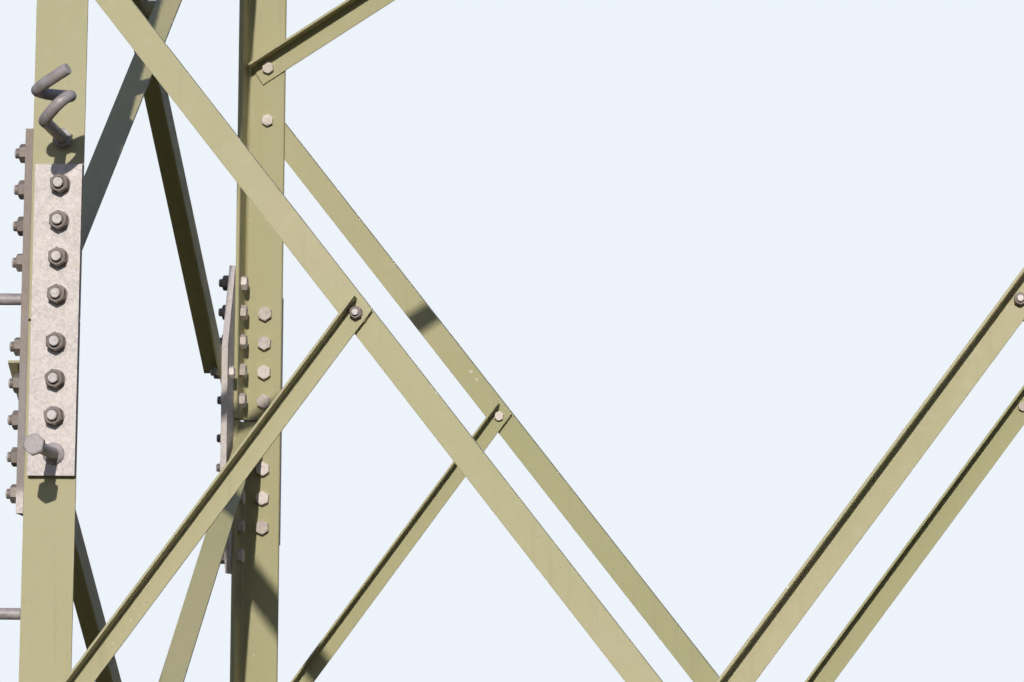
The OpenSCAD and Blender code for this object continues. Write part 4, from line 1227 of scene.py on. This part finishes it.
class PYLON_OT_insulators(bpy.types.Operator):
    """Porcelain long rods with their sheds"""
    bl_idname = "pylon.insulators"
    bl_label = "Insulators"

    def execute(self, context):
        rods = context.scene.pylon_rods
        step, core, shed = ROD_LEN / rods.sheds, rods.core_d / 2, rods.shed_d / 2
        # Radius and height of one shed: round lip, sloped top, drip edge and hollow underside
        unit = [(core, 0.0), (core, 0.24), (core + 0.004, 0.30), (shed - 0.010, 0.36),
                (shed - 0.003, 0.34), (shed, 0.37), (shed - 0.001, 0.42), (shed - 0.012, 0.50),
                (core + 0.010, 0.74), (core + 0.002, 0.82)]
        profile = [(r, (j + z) * step) for j in range(rods.sheds) for r, z in unit] + [(core, ROD_LEN)]
        for tier, (z, _, _, _, hangs) in arm_tiers().items():
            for name, side in (("left", -1), ("right", 1)):
                places = [[AXIS + side * x + s * ROD_GAP / 2, AXIS, z - ROD_TOP - ROD_LEN]
                          for x in hangs for s in (-1, 1)]
                axes = np.tile([0.0, 0.0, 1.0], (len(places), 1))
                shapes = Shapes().rings(placed(lathe(profile, 28), places, axes, np.zeros(len(places))))
                piece = shapes.piece(f"{tier}_porcelain_{name}", material("porcelain"), "porcelain",
                                     SHARP_GLAZE)
                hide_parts(f"{tier}_insulators_{name}")
        return {"FINISHED"}


class PYLON_OT_stage(bpy.types.Operator):
    """Pale floor, soft light and the camera at the photograph's angle"""
    bl_idname = "pylon.stage"
    bl_label = "Stage"

    def execute(self, context):
        scene, s = context.scene, context.scene.pylon_stage
        disc = Shapes().rings(lathe([(s.floor, -0.02), (s.floor, 0.0)], 64)[None])
        floor = disc.object("floor", floor_material())

        sun("main_light", s.sun, *MAIN_LIGHT, s.sun_side, s.sun_up)
        back = sun("back_light", s.back_sun, *BACK_LIGHT, s.sun_side + 180.0, BACK_LIGHT_UP)
        back.visible_glossy = False
        scene.world = world_light(s)

        camera = bpy.data.cameras.new("camera")
        camera.sensor_width, camera.sensor_fit = SENSOR, "HORIZONTAL"
        camera.lens = s.focal
        camera.clip_start, camera.clip_end = 0.1, 20000.0
        view = bpy.data.objects.new("camera", camera)
        flat = math.cos(s.pitch)
        forward = [math.sin(s.yaw) * flat, math.cos(s.yaw) * flat, math.sin(s.pitch)]
        view.matrix_world = looking(forward, s.roll, (AXIS + s.side, AXIS - s.back, sizes().joint - s.drop))
        scene.collection.objects.link(view)
        scene.camera = view
        scene.view_settings.view_transform = "Standard"
        return {"FINISHED"}


class PYLON_PT_panel(bpy.types.Panel):
    """Lists the steps that dress the pylon"""
    bl_label = "Pylon"
    bl_idname = "PYLON_PT_panel"
    bl_space_type = "VIEW_3D"
    bl_region_type = "UI"
    bl_category = "Pylon"

    def draw(self, context):
        for operator in OPERATORS:
            self.layout.operator(operator.bl_idname)
        for name, group in GROUPS.items():
            box = self.layout.box()
            box.label(text=group.__doc__)
            for key in group.__annotations__:
                box.prop(getattr(context.scene, name), key)


OPERATORS = (PYLON_OT_finishes, PYLON_OT_splice_bolts, PYLON_OT_bracing_bolts, PYLON_OT_arm_dressing,
             PYLON_OT_steps, PYLON_OT_rope_hook, PYLON_OT_insulators, PYLON_OT_stage)


def register():
    for cls in (*GROUPS.values(), *OPERATORS, PYLON_PT_panel):
        bpy.utils.register_class(cls)
    for name, group in GROUPS.items():
        setattr(bpy.types.Scene, name, PointerProperty(type=group))


def unregister():
    for name in GROUPS:
        delattr(bpy.types.Scene, name)
    for cls in (PYLON_PT_panel, *reversed(OPERATORS), *reversed(list(GROUPS.values()))):
        bpy.utils.unregister_class(cls)


def main():
    register()
    bpy.ops.pylon.finishes()
    bpy.ops.pylon.splice_bolts()
    bpy.ops.pylon.bracing_bolts()
    bpy.ops.pylon.arm_dressing()
    bpy.ops.pylon.steps()
    bpy.ops.pylon.rope_hook()
    bpy.ops.pylon.insulators()
    bpy.ops.pylon.stage()


if __name__ == "__main__":
    main()
